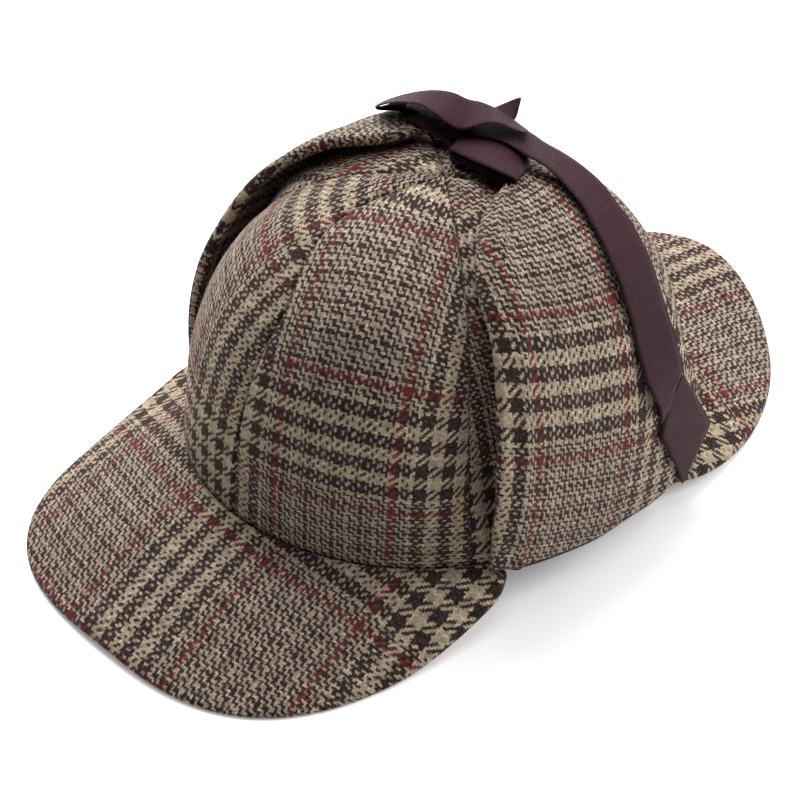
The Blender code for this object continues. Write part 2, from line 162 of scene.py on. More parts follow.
FLAP_FRONT_BACK = {  # how many degrees further back the front edge lies, at rises up the crown
    "ear_flap_left": ((0.0, 1.8), (0.5, 2.6), (0.85, 0.0)),
    "ear_flap_right": ((0.0, -2.0), (0.25, -1.0), (0.45, 3.0), (0.75, 7.0), (0.87, 2.0)),
}
FLAP_ROLL_WIDTH = 11.0  # the front edge rolls in towards the crown over this width
FLAP_ROLL_DROP = {  # as a share of how far it stands off, at rises up the crown
    "ear_flap_left": ((0.0, 0.0), (0.3, 0.08), (0.6, 0.4)),
    "ear_flap_right": ((0.0, 0.05), (1.0, 0.05)),
}
FLAP_CREST = {"ear_flap_left": 1.3, "ear_flap_right": 0.2}  # a crest runs along the roll
FLAP_CREST_WIDTH = 2.2
FLAP_SWELL_SCALE = 1.15  # its swells aren't those of the crown beneath it
FLAP_SWELL_SHIFT = 30.0
BINDING_DEPTH = 2.0  # how far it shows below the flap, beyond its ends' depth
BINDING_THICKNESS = 1.0
BINDING_TAPER = 14.0
BINDING_END = 0.2
BINDING_INSET = 0.3
BINDING_ROWS = 5
BINDING_START = 5  # how many of the flap's columns, round its corners, it leaves bare

# ---- sweatband ----
BAND_THICKNESS = 1.4
BAND_HEIGHT = 27.0
BAND_BELOW = 5.0
BAND_GAP = 0.6
BAND_ROWS = 10
BAND_COLUMNS = 160

# ---- ribbon ----
RIBBON_THICKNESS = 0.7
RIBBON_COLUMNS = 9
RIBBON_STEP = 1.2  # how far apart its rows are, along its length
RIBBON_LEAST_ROWS = 6
RIBBON_FINE = 300
# A station of a ribbon: x, y, z, the bearing and pitch of the line across it, and its width.
TAIL_LONG = (
    (-10.6, 26.0, 131.9, 136.0, -6.0, 13.0),
    (-6.4, 28.1, 132.3, 138.0, -7.0, 14.0),
    (-0.7, 29.9, 133.0, 139.0, -9.0, 15.0),
    (4.4, 31.1, 133.3, 139.0, -11.0, 17.5),
    (10.9, 31.1, 133.9, 138.0, -11.0, 20.0),
    (15.3, 31.8, 134.3, 134.0, -9.0, 22.0),
    (19.9, 35.0, 131.0, 130.0, -13.0, 22.0),
    (24.9, 36.6, 129.1, 125.0, -13.0, 22.0),
    (29.5, 38.3, 126.6, 119.0, -13.0, 22.0),
    (36.1, 38.4, 124.5, 117.0, -10.0, 22.0),
    (42.4, 38.3, 121.9, 114.0, -8.0, 22.0),
    (49.6, 37.4, 117.8, 108.0, -9.0, 22.0),
    (57.4, 36.3, 113.3, 104.0, -7.0, 22.0),
    (64.0, 34.7, 108.6, 100.0, -8.0, 22.0),
    (69.6, 33.6, 103.6, 97.0, -11.0, 22.0),
    (74.2, 32.9, 96.6, 93.0, -15.0, 22.0),
    (78.0, 32.7, 89.4, 92.0, -16.0, 22.0),
    (81.7, 31.8, 83.4, 90.0, -14.0, 22.0),
    (85.2, 31.3, 77.0, 90.0, -13.0, 22.0),
    (88.1, 31.4, 69.5, 93.0, -11.0, 22.0),
    (89.7, 31.8, 64.7, 97.3, -11.0, 20.9),
    (91.1, 30.2, 61.9, 98.8, -7.0, 14.4),
    (92.2, 28.5, 58.5, 98.0, -4.0, 7.1),
    (93.0, 27.0, 55.2, 97.0, -4.0, 0.7),
)
TAIL_END = (  # what lies folded under the tail's slanted end, down to the ribbon's cut
    (86.1, 45.1, 59.3, 98.3, -16.5, 1.4),
    (87.4, 43.9, 51.9, 95.4, -17.9, 13.5),
    (89.1, 43.0, 44.6, 96.9, -21.5, 27.1),
    (90.1, 44.1, 35.4, 96.0, -22.0, 36.4),
    (91.0, 43.9, 31.5, 95.7, -22.0, 30.7),
    (91.9, 43.3, 26.3, 95.1, -20.0, 21.5),
    (92.7, 42.6, 20.2, 95.2, -18.0, 11.5),
    (93.3, 41.4, 12.0, 95.9, -16.0, 1.0),
)
TAIL_FOLD = (  # the turn between the two, which lies behind both
    (87.0, 32.0, 69.5, 95.0, -11.0, 16.0),
    (88.4, 32.7, 62.0, 100.0, -12.0, 16.5),
    (89.3, 34.0, 55.0, 106.0, -15.0, 14.0),
    (89.9, 33.0, 48.5, 104.0, -20.0, 10.5),
    (90.6, 31.0, 43.0, 97.0, -22.0, 6.0),
)
TAIL_SHORT = (
    (-12.4, 36.0, 127.6, 152.0, -2.0, 15.0),
    (-10.0, 40.0, 128.4, 164.0, -2.0, 14.8),
    (-7.9, 43.9, 131.2, 175.0, -3.0, 11.1),
    (-6.6, 46.6, 134.0, 174.0, 0.0, 5.9),
    (-5.1, 48.5, 136.9, 174.0, 8.0, 0.9),
)
BOW = (  # from under the knot out to the right, back over the knot, and on over the left
    (-16.1, 24.0, 129.6, 132.0, 2.0, 12.0),
    (-26.1, 24.9, 129.9, 136.0, -4.0, 15.0),
    (-34.0, 23.7, 129.9, 138.0, -12.0, 18.0),
    (-39.9, 20.0, 129.4, 138.0, -21.0, 20.0),
    (-42.7, 15.5, 129.4, 138.0, -28.0, 20.5),
    (-44.1, 11.8, 130.0, 138.0, -32.0, 20.5),
    (-43.5, 10.5, 131.8, 138.0, -33.0, 20.0),
    (-40.7, 12.6, 134.1, 138.0, -31.0, 20.0),
    (-36.6, 16.5, 135.8, 138.0, -26.0, 20.2),
    (-30.0, 20.5, 137.5, 137.0, -18.0, 20.0),
    (-22.2, 21.8, 138.6, 134.0, -5.0, 19.8),
    (-16.2, 23.3, 138.0, 129.0, 6.0, 19.0),
    (-12.0, 26.2, 136.2, 128.0, 8.0, 17.6),
    (-8.2, 29.6, 136.9, 132.0, -3.0, 17.9),
    (-4.2, 31.9, 137.4, 132.0, -13.0, 18.0),
    (0.1, 33.9, 136.9, 132.0, -20.0, 18.0),
    (4.4, 35.7, 135.2, 130.0, -24.0, 18.0),
    (8.3, 38.1, 133.1, 126.0, -32.0, 16.0),
)
LOOP_LEFT = (
    (-9.0, 18.6, 130.3, 115.0, -5.0, 16.4),
    (0.1, 19.2, 131.9, 118.0, -4.0, 19.6),
    (10.1, 19.6, 133.3, 120.0, -3.0, 20.6),
    (17.5, 20.4, 133.3, 119.0, -3.0, 20.0),
    (23.2, 20.9, 132.2, 118.0, -6.0, 18.0),
    (23.0, 20.2, 130.9, 118.0, -6.0, 18.0),
    (17.0, 19.0, 131.8, 119.0, -3.0, 18.6),
    (9.0, 18.0, 131.7, 120.0, -3.0, 18.8),
    (-1.0, 17.6, 130.3, 118.0, -4.0, 17.6),
    (-7.6, 17.0, 129.0, 115.0, -5.0, 14.0),
)
LOOP_LEFT_UNDER = (
    (-7.0, 16.2, 128.0, 115.0, -5.0, 14.0),
    (0.0, 16.9, 129.3, 117.0, -4.0, 16.6),
    (10.0, 17.4, 130.7, 118.0, -3.0, 17.6),
    (17.6, 18.4, 130.7, 117.0, -3.0, 17.4),
    (21.8, 19.4, 129.6, 116.0, -6.0, 17.4),
)
TIE_RIGHT = (
    (-37.0, 18.5, 130.6, 118.0, -12.0, 16.0),
    (-30.0, 19.4, 131.2, 120.0, -10.0, 18.0),
    (-23.0, 20.6, 131.0, 120.0, -6.0, 17.0),
    (-15.0, 21.4, 129.4, 120.0, 0.0, 15.0),
    (-9.6, 20.6, 127.4, 118.0, 4.0, 13.0),
)
TIE_LEFT = (
    (-7.6, 20.0, 126.6, 100.0, 0.0, 13.0),
    (6.0, 21.2, 127.2, 96.0, 0.0, 16.0),
    (15.0, 22.4, 126.8, 92.0, 0.0, 18.0),
)
RIBBONS = {
    # each strip, the solids that it stands for, how it is held and by what, and its stations
    "ribbon_bow_strip": (
        ("ribbon_loop_right", "ribbon_loop_back"), "folded", ["ribbon_knot_strip"], BOW,
    ),
    "ribbon_loop_left_strip": (
        ("ribbon_loop_left",), "folded", ["ribbon_knot_strip"], LOOP_LEFT,
    ),
    "ribbon_loop_left_under_strip": (
        ("ribbon_loop_left",), "folded", ["ribbon_loop_left_strip"], LOOP_LEFT_UNDER,
    ),
    "ribbon_tail_long_strip": (
        ("ribbon_tail_long",), "hung", ["ribbon_knot_strip", "ear_flap_left_cloth"], TAIL_LONG,
    ),
    "ribbon_tail_long_end_strip": (
        ("ribbon_tail_long",), "folded", ["ribbon_tail_long_strip", "ear_flap_left_cloth"],
        TAIL_END,
    ),
    "ribbon_tail_long_fold_strip": (
        ("ribbon_tail_long",), "folded", ["ribbon_tail_long_strip", "ear_flap_left_cloth"],
        TAIL_FOLD,
    ),
    "ribbon_tail_short_strip": (
        ("ribbon_tail_short",), "hung", ["ribbon_knot_strip"], TAIL_SHORT,
    ),
    "ribbon_tie_right_strip": (
        ("ribbon_tie_right",), "stretched", ["ear_flap_right_cloth", "ribbon_knot_strip"],
        TIE_RIGHT,
    ),
    "ribbon_tie_left_strip": (
        ("ribbon_tie_left",), "stretched", ["ear_flap_left_cloth", "ribbon_knot_strip"], TIE_LEFT,
    ),
}
KNOT_MIDDLE = np.array((-13.4, 24.4, 130.4))
KNOT_HALF_SIZE = np.array((6.0, 7.0, 4.0))
KNOT_TURN = 30.0
KNOT_ROWS = 25
KNOT_COLUMNS = 48
KNOT_SIDE_SHAPE = 0.8  # 1 for a round knot, and less for a squarer one
KNOT_ROUND_SHAPE = 0.9
KNOT_WEAVE = (9.0, 6.0)  # the ribbon's width on half of it, and its length on a turn of a radian

# ---- cloth ----
SWELLS = (  # wool never lies quite true: it swells and sinks between the places that hold it
    # length of one swell, bearing, tilt, height, start
    (61.0, 20.0, 35.0, 0.30, 0.4),
    (43.0, 95.0, -20.0, 0.24, 2.1),
    (34.0, 150.0, 50.0, 0.20, 4.4),
    (23.0, 60.0, 10.0, 0.13, 1.3),
    (17.0, 120.0, -40.0, 0.09, 3.2),
)
EDGE_TURNS = np.radians((0.0, 18.0, 36.0, 52.0, 66.0, 79.0))
EDGE_SHARE = 0.4  # the most of a width that the rounding of each of its edges takes up

# ---- weave ----
WARP_PITCH = 0.835  # the width of one thread
WEFT_PITCH = 0.9
STRIPE_BAND = 6.0  # the threads of each light or dark band in a group of stripes
STRIPE_BAND_START = 4.0  # a group starts and ends with the last two threads of a light band
STRIPE_THREADS = 46.0
EDGE_THREADS = 5.0  # from a group of stripes to its red line
RED_THREADS = 2.0  # what a red line adds to the repeat
RED_LINE = (1.5, 1.2)  # its middle and its reach: the plain check's first thread is red too
WARP_PLAIN = 51.0  # threads of the plain check between two red lines
WEFT_PLAIN = 63.0
PLAIN_CYCLE = 12.0  # light and dark threads alternate, and change places twice in this many
PLAIN_SWAP = (5.5, 3.1)  # the middle of the swapped threads, and how far they reach from it
STRIPE_MIDDLE = STRIPE_THREADS / 2
RED_AFTER = STRIPE_THREADS + EDGE_THREADS + RED_THREADS / 2
RED_BEFORE = -EDGE_THREADS - RED_THREADS / 2

# How each panel's cloth lies: the warp thread on its middle line, the weft thread at its rim, the
# weft threads for each millimetre up, how many fewer where the cloth is stretched at the top, and
# its share of the droop.
FULL_LAY = (85.0, -39.1, 1.351, -0.00155, 1.0)
EVEN_LAY = (-15.5, -124.3, 1.22, 0.0, 0.15)
PANEL_LAY = {
    "front_left": FULL_LAY,
    "side_left": EVEN_LAY,
    "back_left": FULL_LAY,
    "back_right": EVEN_LAY,
    "side_right": FULL_LAY,
    "front_right": EVEN_LAY,
}
CROWN_WARP_PITCH = 0.855
WEFT_BOW = 0.0155  # the weft droops towards a panel's sides, by this at the height below
WEFT_BOW_HEIGHT = 130.0
WEFT_BOW_GROWTH = 2.2
WEFT_BOW_MIDDLE = -6.0  # where it lies highest, beside the panel's middle line
PEAK_LAY = {
    # the middle of the warp's stripes, read this far forward, with the warp's lean there and how
    # it fans out, and the red weft line, with how it bows and where its middle lies
    "front_peak": {
        "middle": 4.75, "at": -141.0, "lean": -0.065, "fan": -0.0012,
        "red": -111.4, "bow": 0.0025, "bow_middle": 8.0,
    },
    "back_peak": {
        "middle": 2.4, "at": 136.0, "lean": 0.12, "fan": 0.0,
        "red": 163.5, "bow": -0.002, "bow_middle": 0.0,
    },
}
FLAP_WARP_PITCH = 0.834
FLAP_WARP_LEAN = 0.22
FLAP_RED_WEFTS = (38.0, 90.8)  # how far above the fold the two red weft lines run
FLAP_DROOP = 0.22

# ---- yarn ----
LIGHT_YARN = (0.470, 0.368, 0.290, 1.0)  # of the plain check
CREAM_YARN = (0.550, 0.437, 0.308, 1.0)  # of the stripes
DARK_YARN = (0.027, 0.0145, 0.0145, 1.0)
RED_YARN = (0.17, 0.022, 0.024, 1.0)
FUZZ = 2.6  # how ragged a thread's sides are, and how fine, in threads
FUZZ_SCALE = 1.5
WANDER = 1.6  # how far threads wander
WANDER_SCALE = 0.12
WARP_WANDERS = 2.0  # where in the noise each set of threads starts
WEFT_WANDERS = 40.0
FLOAT_THREADS = 2.0  # a thread goes over two and under two
THREAD_SHAPE = 0.6  # 1 for a rounded thread, and less for a flatter one
FLOAT_SHAPE = 0.5
FLOAT_DIP = 0.45  # the height that is left at a float's ends
SLUB_SCALE = 0.17  # thick and thin places along a thread
SLUB_APART = 3.1
FIBRE = (1.3, 3.0, 0.7)  # the scale, detail and roughness of the yarn's fibres
FIBRE_RELIEF = 0.5
HAIR = (1.1, 4.0, 0.75)
HAIR_NARROWS = 1.3
LIGHT_HAIRS = (0.52, 0.72, 0.0, 0.5)  # the noise from low to high, and how much they hide
DARK_HAIRS = (0.48, 0.28, 0.0, 0.55)
THREAD_SHADES = (0.0, 1.0, 0.86, 1.12)  # the chance from low to high, and the shade at each
STITCH_SHADES = (0.0, 1.0, 0.76, 1.24)
SLUB_SHADES = (0.3, 0.7, 0.80, 1.22)
FIBRE_SHADES = (0.25, 0.75, 0.72, 1.30)
TWEED_SHADOW = 0.62  # painted shade: how much darker the colour is made between its threads
# painted light: how much lighter the colour is made on the threads' tops
TWEED_LIT = 1.08
TWEED_RELIEF = 0.3

# ---- grosgrain ----
RIBBON_DYE = (0.052, 0.0225, 0.0285, 1.0)
# the ribbon's back faces: its dye darkened to about half, as painted shade in its loops and folds
RIBBON_DYE_IN_PAINTED_SHADE = (0.024, 0.0100, 0.0130, 1.0)
RIB_PITCH = 0.85
RIB_SHAPE = 0.7
RIB_RELIEF = 0.3
# painted shade in the grooves between ribs and painted light on their crests
RIB_GROOVE_PAINTED_SHADES = (0.0, 1.0, 0.22, 1.28)
RIB_BY_RIB_SHADES = (0.0, 1.0, 0.93, 1.07)
RIBBON_THREAD_PITCH = 0.3
RIBBON_THREAD_RELIEF = 0.12
RIBBON_WEAR = (0.35, 3.0)  # the scale and detail of its worn places
WORN_SHADES = (0.3, 0.7, 0.92, 1.08)

# ---- lining ----
LINING_DARK = (0.010, 0.010, 0.012, 1.0)
LINING_LIGHT = (0.028, 0.028, 0.032, 1.0)
LINING_GRAIN = (1.8, 3.0, 0.6)
LINING_RELIEF = 0.1

# ---- view and light ----
VIEW_TARGET = (-1.745, 3.9, 60.0)
VIEW_AZIMUTH = 45.6
VIEW_ELEVATION = 38.3
VIEW_DISTANCE = 1100.0
VIEW_LENS = 129.94
VIEW_SENSOR = 36.0
VIEW_TARGET_PLACE = (434.5, 320.5)  # where the target lies in an 800 by 800 picture
PICTURE = 800.0
FLOOR_SIZE = 8.0  # in metres, as the lamps' places and widths are
FLOOR_GLOW = 0.22
SKY_STRENGTH = 0.03
LAMP_AIM = (0.0, 0.0, 0.05)
LAMPS = (
    # name, place, width, watts
    ("overhead", (0.0, 0.0, 1.3), 1.2, 7.0),
    ("behind_right", (-0.62, 0.42, 1.2), 0.9, 15.0),
    ("behind_left", (0.7, 0.9, 0.7), 0.8, 13.0),
    ("low_right", (-1.1, 0.2, 0.5), 0.8, 15.0),
)


# ==== forms ====


def power(value, exponent):
    """The size of a number to a power, with the number's own sign."""
    return np.sign(value) * np.abs(value) ** exponent


def smooth_step(value):
    value = np.clip(value, 0.0, 1.0)
    return value * value * (3.0 - 2.0 * value)


def between(first, last, share):
    return first + (last - first) * share


def points(x, y, z):
    return np.stack(np.broadcast_arrays(x, y, z), axis=-1)


def over(value, grid):
    """What is given once for each row or column, at every place of a grid."""
    return np.broadcast_to(value, grid.shape)


def at_rise(table, rise):
    """A value at a rise, from a table of rises and values."""
    return np.interp(rise, *np.transpose(table))


def unit(vectors):
    return vectors / np.maximum(np.linalg.norm(vectors, axis=-1, keepdims=True), 1e-9)


def run_lengths(line):
    """How far each place of a line of points lies along it."""
    steps = np.linalg.norm(np.diff(line, axis=0), axis=-1)
    return np.concatenate(([0.0], np.cumsum(steps)))


def rim_point(angle):
    """The crown's rim: it saddles from front to sides, and is drawn in at the right temple."""
    turn = np.radians(angle)
    along, across = np.cos(turn), np.sin(turn)
    height = RIM_HEIGHT + RIM_PITCH * along + RIM_SADDLE * np.cos(2 * turn)
    height = height - RIM_TWIST * np.cos(3 * turn)
    at_temple = (along > 0) & (across < 0)
    spread = 1 - RIM_DENT * np.sin(2 * turn) ** 2 * at_temple
    return points(
        RIM_HALF_WIDTH * spread * power(across, 2 / RIM_SQUARENESS),
        -RIM_HALF_LENGTH * spread * power(along, 2 / RIM_SQUARENESS),
        height,
    )


def fullness_at(angle, rise):
    fade = 1 - rise**FRONT_FULLNESS_FADE
    return FULLNESS + FRONT_FULLNESS * np.cos(np.radians(angle)) * fade


def dome_point(angle, rise):
    """The crown's plain form, before its panels swell and its seams dip."""
    rise = np.clip(rise, 0.0, 1.0)
    rim = rim_point(angle)
    fullness = fullness_at(angle, rise)
    climb = rise * math.pi / 2
    spread = np.maximum(np.cos(climb), 0.0) ** (2 / fullness)
    lift = np.sin(climb) ** (2 / fullness)
    return points(
        rim[..., 0] * spread,
        rim[..., 1] * spread + TOP_SHIFT * lift,
        rim[..., 2] * (1 - lift) + TOP_HEIGHT * lift,
    )


def dome_normal(angle, rise):
    rise = np.clip(rise, *NORMAL_RISES)
    turn, climb = NORMAL_STEPS
    round_step = dome_point(angle + turn, rise) - dome_point(angle - turn, rise)
    up_step = dome_point(angle, rise + climb) - dome_point(angle, rise - climb)
    return unit(np.cross(round_step, up_step))


def seam_depth(rise):
    """How deep the seams lie, as a share: nothing at the rim, and next to nothing at the top."""
    place = np.clip(SEAM_FADE * rise, 0.0, 1.0)
    return np.maximum(np.sin(math.pi * place), 0.0) ** SEAM_FADE_SHAPE


def tuck(angle, rise):
    """How far the crown is drawn in beside the front edge of each ear flap."""
    turn = np.abs((angle + 180.0) % 360.0 - 180.0) - TUCK_ANGLE
    beside = np.radians(turn) * RIM_HALF_WIDTH / np.where(turn < 0, *TUCK_WIDTHS)
    full, fading, gone = TUCK_RISES
    share = smooth_step(rise / full) * (1 - smooth_step((rise - fading) / (gone - fading)))
    return TUCK_DEPTH * np.exp(-beside * beside) * share


def seam_angle(seam, rise):
    """Where a seam lies at each rise; the one in front leans to the right near the top."""
    angle = np.full(rise.shape, PANEL_ANGLE * seam)
    if seam % PANELS == 0:
        start, end = SEAM_LEAN_RISES
        angle = angle - SEAM_LEAN * smooth_step((rise - start) / (end - start))
    return angle


def rise_at(angle, height):
    """The rise at which the crown is this much higher than its rim."""
    lift = np.clip(height / (TOP_HEIGHT - rim_point(angle)[..., 2]), 0.0, 1.0)
    return np.arcsin(lift ** (fullness_at(angle, 0.0) / 2)) / (math.pi / 2)


def blend_rows(rows, place):
    """Every column of a table at places from 0 to 1 along its rows, on a smooth curve."""
    rows = np.array(rows, dtype=float)
    span = place * (len(rows) - 1)
    index = np.minimum(span.astype(int), len(rows) - 2)
    share = (span - index)[:, None]
    b, c = rows[index], rows[index + 1]
    a, d = rows[np.maximum(index - 1, 0)], rows[np.minimum(index + 2, len(rows) - 1)]
    slope_in = np.where((index == 0)[:, None], c - b, (c - a) / 2)
    slope_out = np.where((index == len(rows) - 2)[:, None], c - b, (d - b) / 2)
    square, cube = share * share, share * share * share
    return (
        b * (2 * cube - 3 * square + 1)
        + slope_in * (cube - 2 * square + share)
        + c * (3 * square - 2 * cube)
        + slope_out * (cube - square)
    )


def uneven(place):
    """How far the cloth swells out at a place."""
    total = 0.0
    for length, bearing, tilt, height, start in SWELLS:
        turn, lean = math.radians(bearing), math.radians(tilt)
        way = np.array((
            math.cos(turn) * math.cos(lean),
            math.sin(turn) * math.cos(lean),
            math.sin(lean),
        ))
        total = total + height * np.sin(place @ way * (2 * math.pi / length) + start)
    return total


def rounded_steps(length, radius, count):
    """Distances across each length: close steps round its two edges, and even ones between."""
    length = np.atleast_1d(length)[:, None]
    radius = np.minimum(radius, EDGE_SHARE * length)
    start = radius * (1 - np.cos(EDGE_TURNS))
    middle = radius + (length - 2 * radius) * np.linspace(0.0, 1.0, count)
    return np.concatenate((start, middle, length - start[:, ::-1]), axis=1)


def round_off(distance, radius):
    """The share of its thickness that a sheet has this far in from a rounded edge."""
    inward = np.clip(distance / radius, 0.0, 1.0)
    return np.sqrt(np.maximum(1 - (1 - inward) ** 2, 0.0))


def turned_in(distance, radius):
    """The cloth that goes round a rounded edge, beyond what its plan shows."""
    inward = np.clip(distance / radius, 0.0, 1.0)
    return radius * (math.pi / 2 - np.arccos(1 - inward) - (1 - inward))


# ==== meshes ====


def new_mesh(name, places, faces, laid):
    """A mesh of points in millimetres, with a place of the weave at each corner of each face."""
    mesh = bpy.data.meshes.new(name)
    mesh.from_pydata(((places + RIM_CENTRE) * MM).tolist(), [], faces.tolist())
    weave = mesh.uv_layers.new(name="weave")
    weave.data.foreach_set("uv", laid.reshape(-1).astype(np.float32))
    mesh.shade_smooth()
    return mesh


def sheet_mesh(name, outer, inner, laid, closed_round=False):
    """A closed sheet of two faces, both grids of points, with a place of the weave at each point.

    The sheet's edge is the grids' own border, where both have the same points. A sheet that is
    closed round has no side edges: its last column is joined to its first.
    """
    rows, columns = outer.shape[:2]
    number = np.arange(rows * columns).reshape(rows, columns)
    border = np.zeros((rows, columns), bool)
    border[[0, -1], :] = True
    if not closed_round:
        border[:, [0, -1]] = True
    back = np.where(border, number, 0)
    back[~border] = rows * columns + np.arange(np.count_nonzero(~border))
    places = np.concatenate((outer.reshape(-1, 3), inner[~border]))

    def quads(grid, flip):
        after = np.roll(grid, -1, axis=1) if closed_round else grid[:, 1:]
        before = grid if closed_round else grid[:, :-1]
        corners = (before[:-1], after[:-1], after[1:], before[1:])
        corners = corners[::-1] if flip else corners
        return np.stack(corners, axis=-1).reshape(-1, 4)

    faces = np.concatenate((quads(number, False), quads(back, True)))
    here = np.concatenate((quads(number, False), quads(number, True)))
    return new_mesh(name, places, faces, laid.reshape(-1, 2)[here])


def add_piece(name, mesh, nodes, finishes):
    """Puts a mesh in the scene in place of its CAD solids; its back face takes the last finish."""
    for finish in finishes:
        mesh.materials.append(finish)
    if len(finishes) > 1:
        marks = np.zeros(len(mesh.polygons), dtype=np.int32)
        marks[len(marks) // 2:] = len(finishes) - 1
        mesh.polygons.foreach_set("material_index", marks)
    piece = bpy.data.objects.new(name, mesh)
    bpy.context.scene.collection.objects.link(piece)
    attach(piece, "root")
    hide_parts(*nodes)
    return piece


def declare_cloth(middle):
    """Works out what size a piece of cloth was cut to, from the grid of its middle surface, but
    does nothing with it.
    """
    across = np.linalg.norm(np.diff(middle, axis=1), axis=-1).sum(axis=1)
    along = np.linalg.norm(np.diff(middle, axis=0), axis=-1).sum(axis=0)
    sides = middle[1:, 1:] - middle[:-1, :-1], middle[1:, :-1] - middle[:-1, 1:]
    area = np.linalg.norm(np.cross(*sides), axis=-1).sum() / 2
    flat = (float(max(across.max(), area / along.max())) * MM, float(along.max()) * MM)
    area = min(float(area) * MM * MM, flat[0] * flat[1])


# ==== crown ====


def panel_grid(seam):
    """Angles, rises, distances in from the four edges and flat places over one panel."""
    middle = PANEL_ANGLE * (seam + 0.5)
    fine = np.linspace(0.0, PANEL_TOP_RISE, PANEL_FINE)
    climbs = run_lengths(dome_point(middle, fine))
    total = climbs[-1] + SKIRT
    up = rounded_steps(total, PANEL_EDGE, PANEL_ROWS)[0]
    rise = np.interp(up - SKIRT, climbs, fine)
    start, end = seam_angle(seam, rise), seam_angle(seam + 1, rise)
    end = np.where(end < start, end + 360.0, end)
    across, from_side, beside = [], [], []
    sweep = np.linspace(0.0, 1.0, SWEEP_FINE)
    for first, last, level in zip(start, end, rise):
        angles = between(first, last, sweep)
        lengths = run_lengths(dome_point(angles, level))
        steps = rounded_steps(lengths[-1] - SEAM_GAP, PANEL_EDGE, PANEL_COLUMNS)[0]
        across.append(np.interp(steps + SEAM_GAP / 2, lengths, sweep))
        from_side.append(np.minimum(steps, steps[-1] - steps))
        beside.append(steps - np.interp(middle, angles, lengths))
    across, beside = np.array(across), np.array(beside)
    return {
        "rise": over(rise[:, None], across),
        "below": np.maximum(SKIRT - up, 0.0)[:, None],
        "angle": between(start[:, None], end[:, None], across),
        "across": across,
        "from_side": np.array(from_side),
        "from_end": np.minimum(up, total - up)[:, None],
        "beside": beside,
        "above": over((up - SKIRT)[:, None], beside),
    }


def panel_weave(grid, edge, lay):
    """The warp and weft thread at each place of a panel."""
    warp_start, weft_start, wefts, ease, droop = lay
    beside, above = grid["beside"], grid["above"]
    beside = beside + np.where(beside < 0, -1, 1) * turned_in(grid["from_side"], edge)
    bow = droop * WEFT_BOW * (np.maximum(above, 0.0) / WEFT_BOW_HEIGHT) ** WEFT_BOW_GROWTH
    level = above + bow * (beside - WEFT_BOW_MIDDLE) ** 2
    warp = warp_start + beside / CROWN_WARP_PITCH
    weft = weft_start + wefts * level + ease * level**2
    return np.stack((warp, weft), axis=-1)


def add_panel(seam, tweed, lining):
    """One of the crown's six panels, with both its side edges turned in along the seams."""
    grid = panel_grid(seam)
    angle, rise, from_side = grid["angle"], grid["rise"], grid["from_side"]
    normal = dome_normal(angle, rise)
    place = dome_point(angle, rise)
    puff = PUFF * np.maximum(np.sin(math.pi * grid["across"]), 0.0) ** PUFF_SHAPE
    settled = np.clip(from_side / SWELL_START, 0.0, 1.0)
    swell = seam_depth(rise) * (puff - SEAM_DIP) + uneven(place) * settled - tuck(angle, rise)
    place = place + normal * swell[..., None]
    place[..., 2] -= grid["below"]
    half_width = np.max(from_side, axis=1, keepdims=True)
    edge = np.minimum(PANEL_EDGE, EDGE_SHARE * half_width * 2 + PANEL_LEAST_EDGE)
    share = round_off(from_side, edge) * round_off(grid["from_end"], PANEL_EDGE)
    half = (WALL / 2 * share)[..., None]
    outer = place - normal * (WALL / 2 - half)
    inner = place - normal * (WALL / 2 + half)
    laid = panel_weave(grid, edge, PANEL_LAY[PANEL_NAMES[seam]])
    node = "crown_panel_" + PANEL_NAMES[seam]
    mesh = sheet_mesh(node + "_cloth", outer, inner, laid)
    piece = add_piece(node + "_cloth", mesh, [node], [tweed, lining])
    declare_cloth(outer)


# ==== peaks ====


def peak_edge(shape):
    """Half of a peak's outer edge in plan, from its tip to its end beside the ear flap."""
    reach = shape["reach"] - shape["widest"]
    bend = 2 / shape["squareness"]
    turn = np.linspace(math.pi / 2, 0.0, PEAK_FINE)
    curve = np.stack((
        shape["half_width"] * np.maximum(np.cos(turn), 0.0) ** bend,
        shape["widest"] + reach * np.sin(turn) ** bend,
    ), axis=-1)
    share = np.linspace(0.0, 1.0, SWEEP_FINE)[1:]
    end = np.stack((
        shape["half_width"] * (1 - shape["taper"] * share * share),
        shape["widest"] - (shape["widest"] - shape["end"]) * share,
    ), axis=-1)
    return np.concatenate((curve, end))


def edge_lift(shape, share):
    """How high a peak's edge lies, from its tip to its end; it is pressed flat between them."""
    tip = 1 - smooth_step(share / shape["tip_share"])
    end = np.maximum((share - 1 + END_SHARE) / END_SHARE, 0.0)
    resting = (1 - tip) * (1 - end)
    return shape["tip_lift"] * tip + shape["end_lift"] * end**2 - PEAK_PRESS * resting


def peak_weave(lay, x, y):
    """The warp and weft thread at each place of a peak, laid out flat."""
    lean = lay["lean"] + lay["fan"] * x
    warp = STRIPE_MIDDLE + (x - lay["middle"] - lean * (y - lay["at"])) / WARP_PITCH
    red = lay["red"] + lay["bow"] * (x - lay["bow_middle"]) ** 2
    return np.stack((warp, RED_BEFORE + (y - red) / WEFT_PITCH), axis=-1)


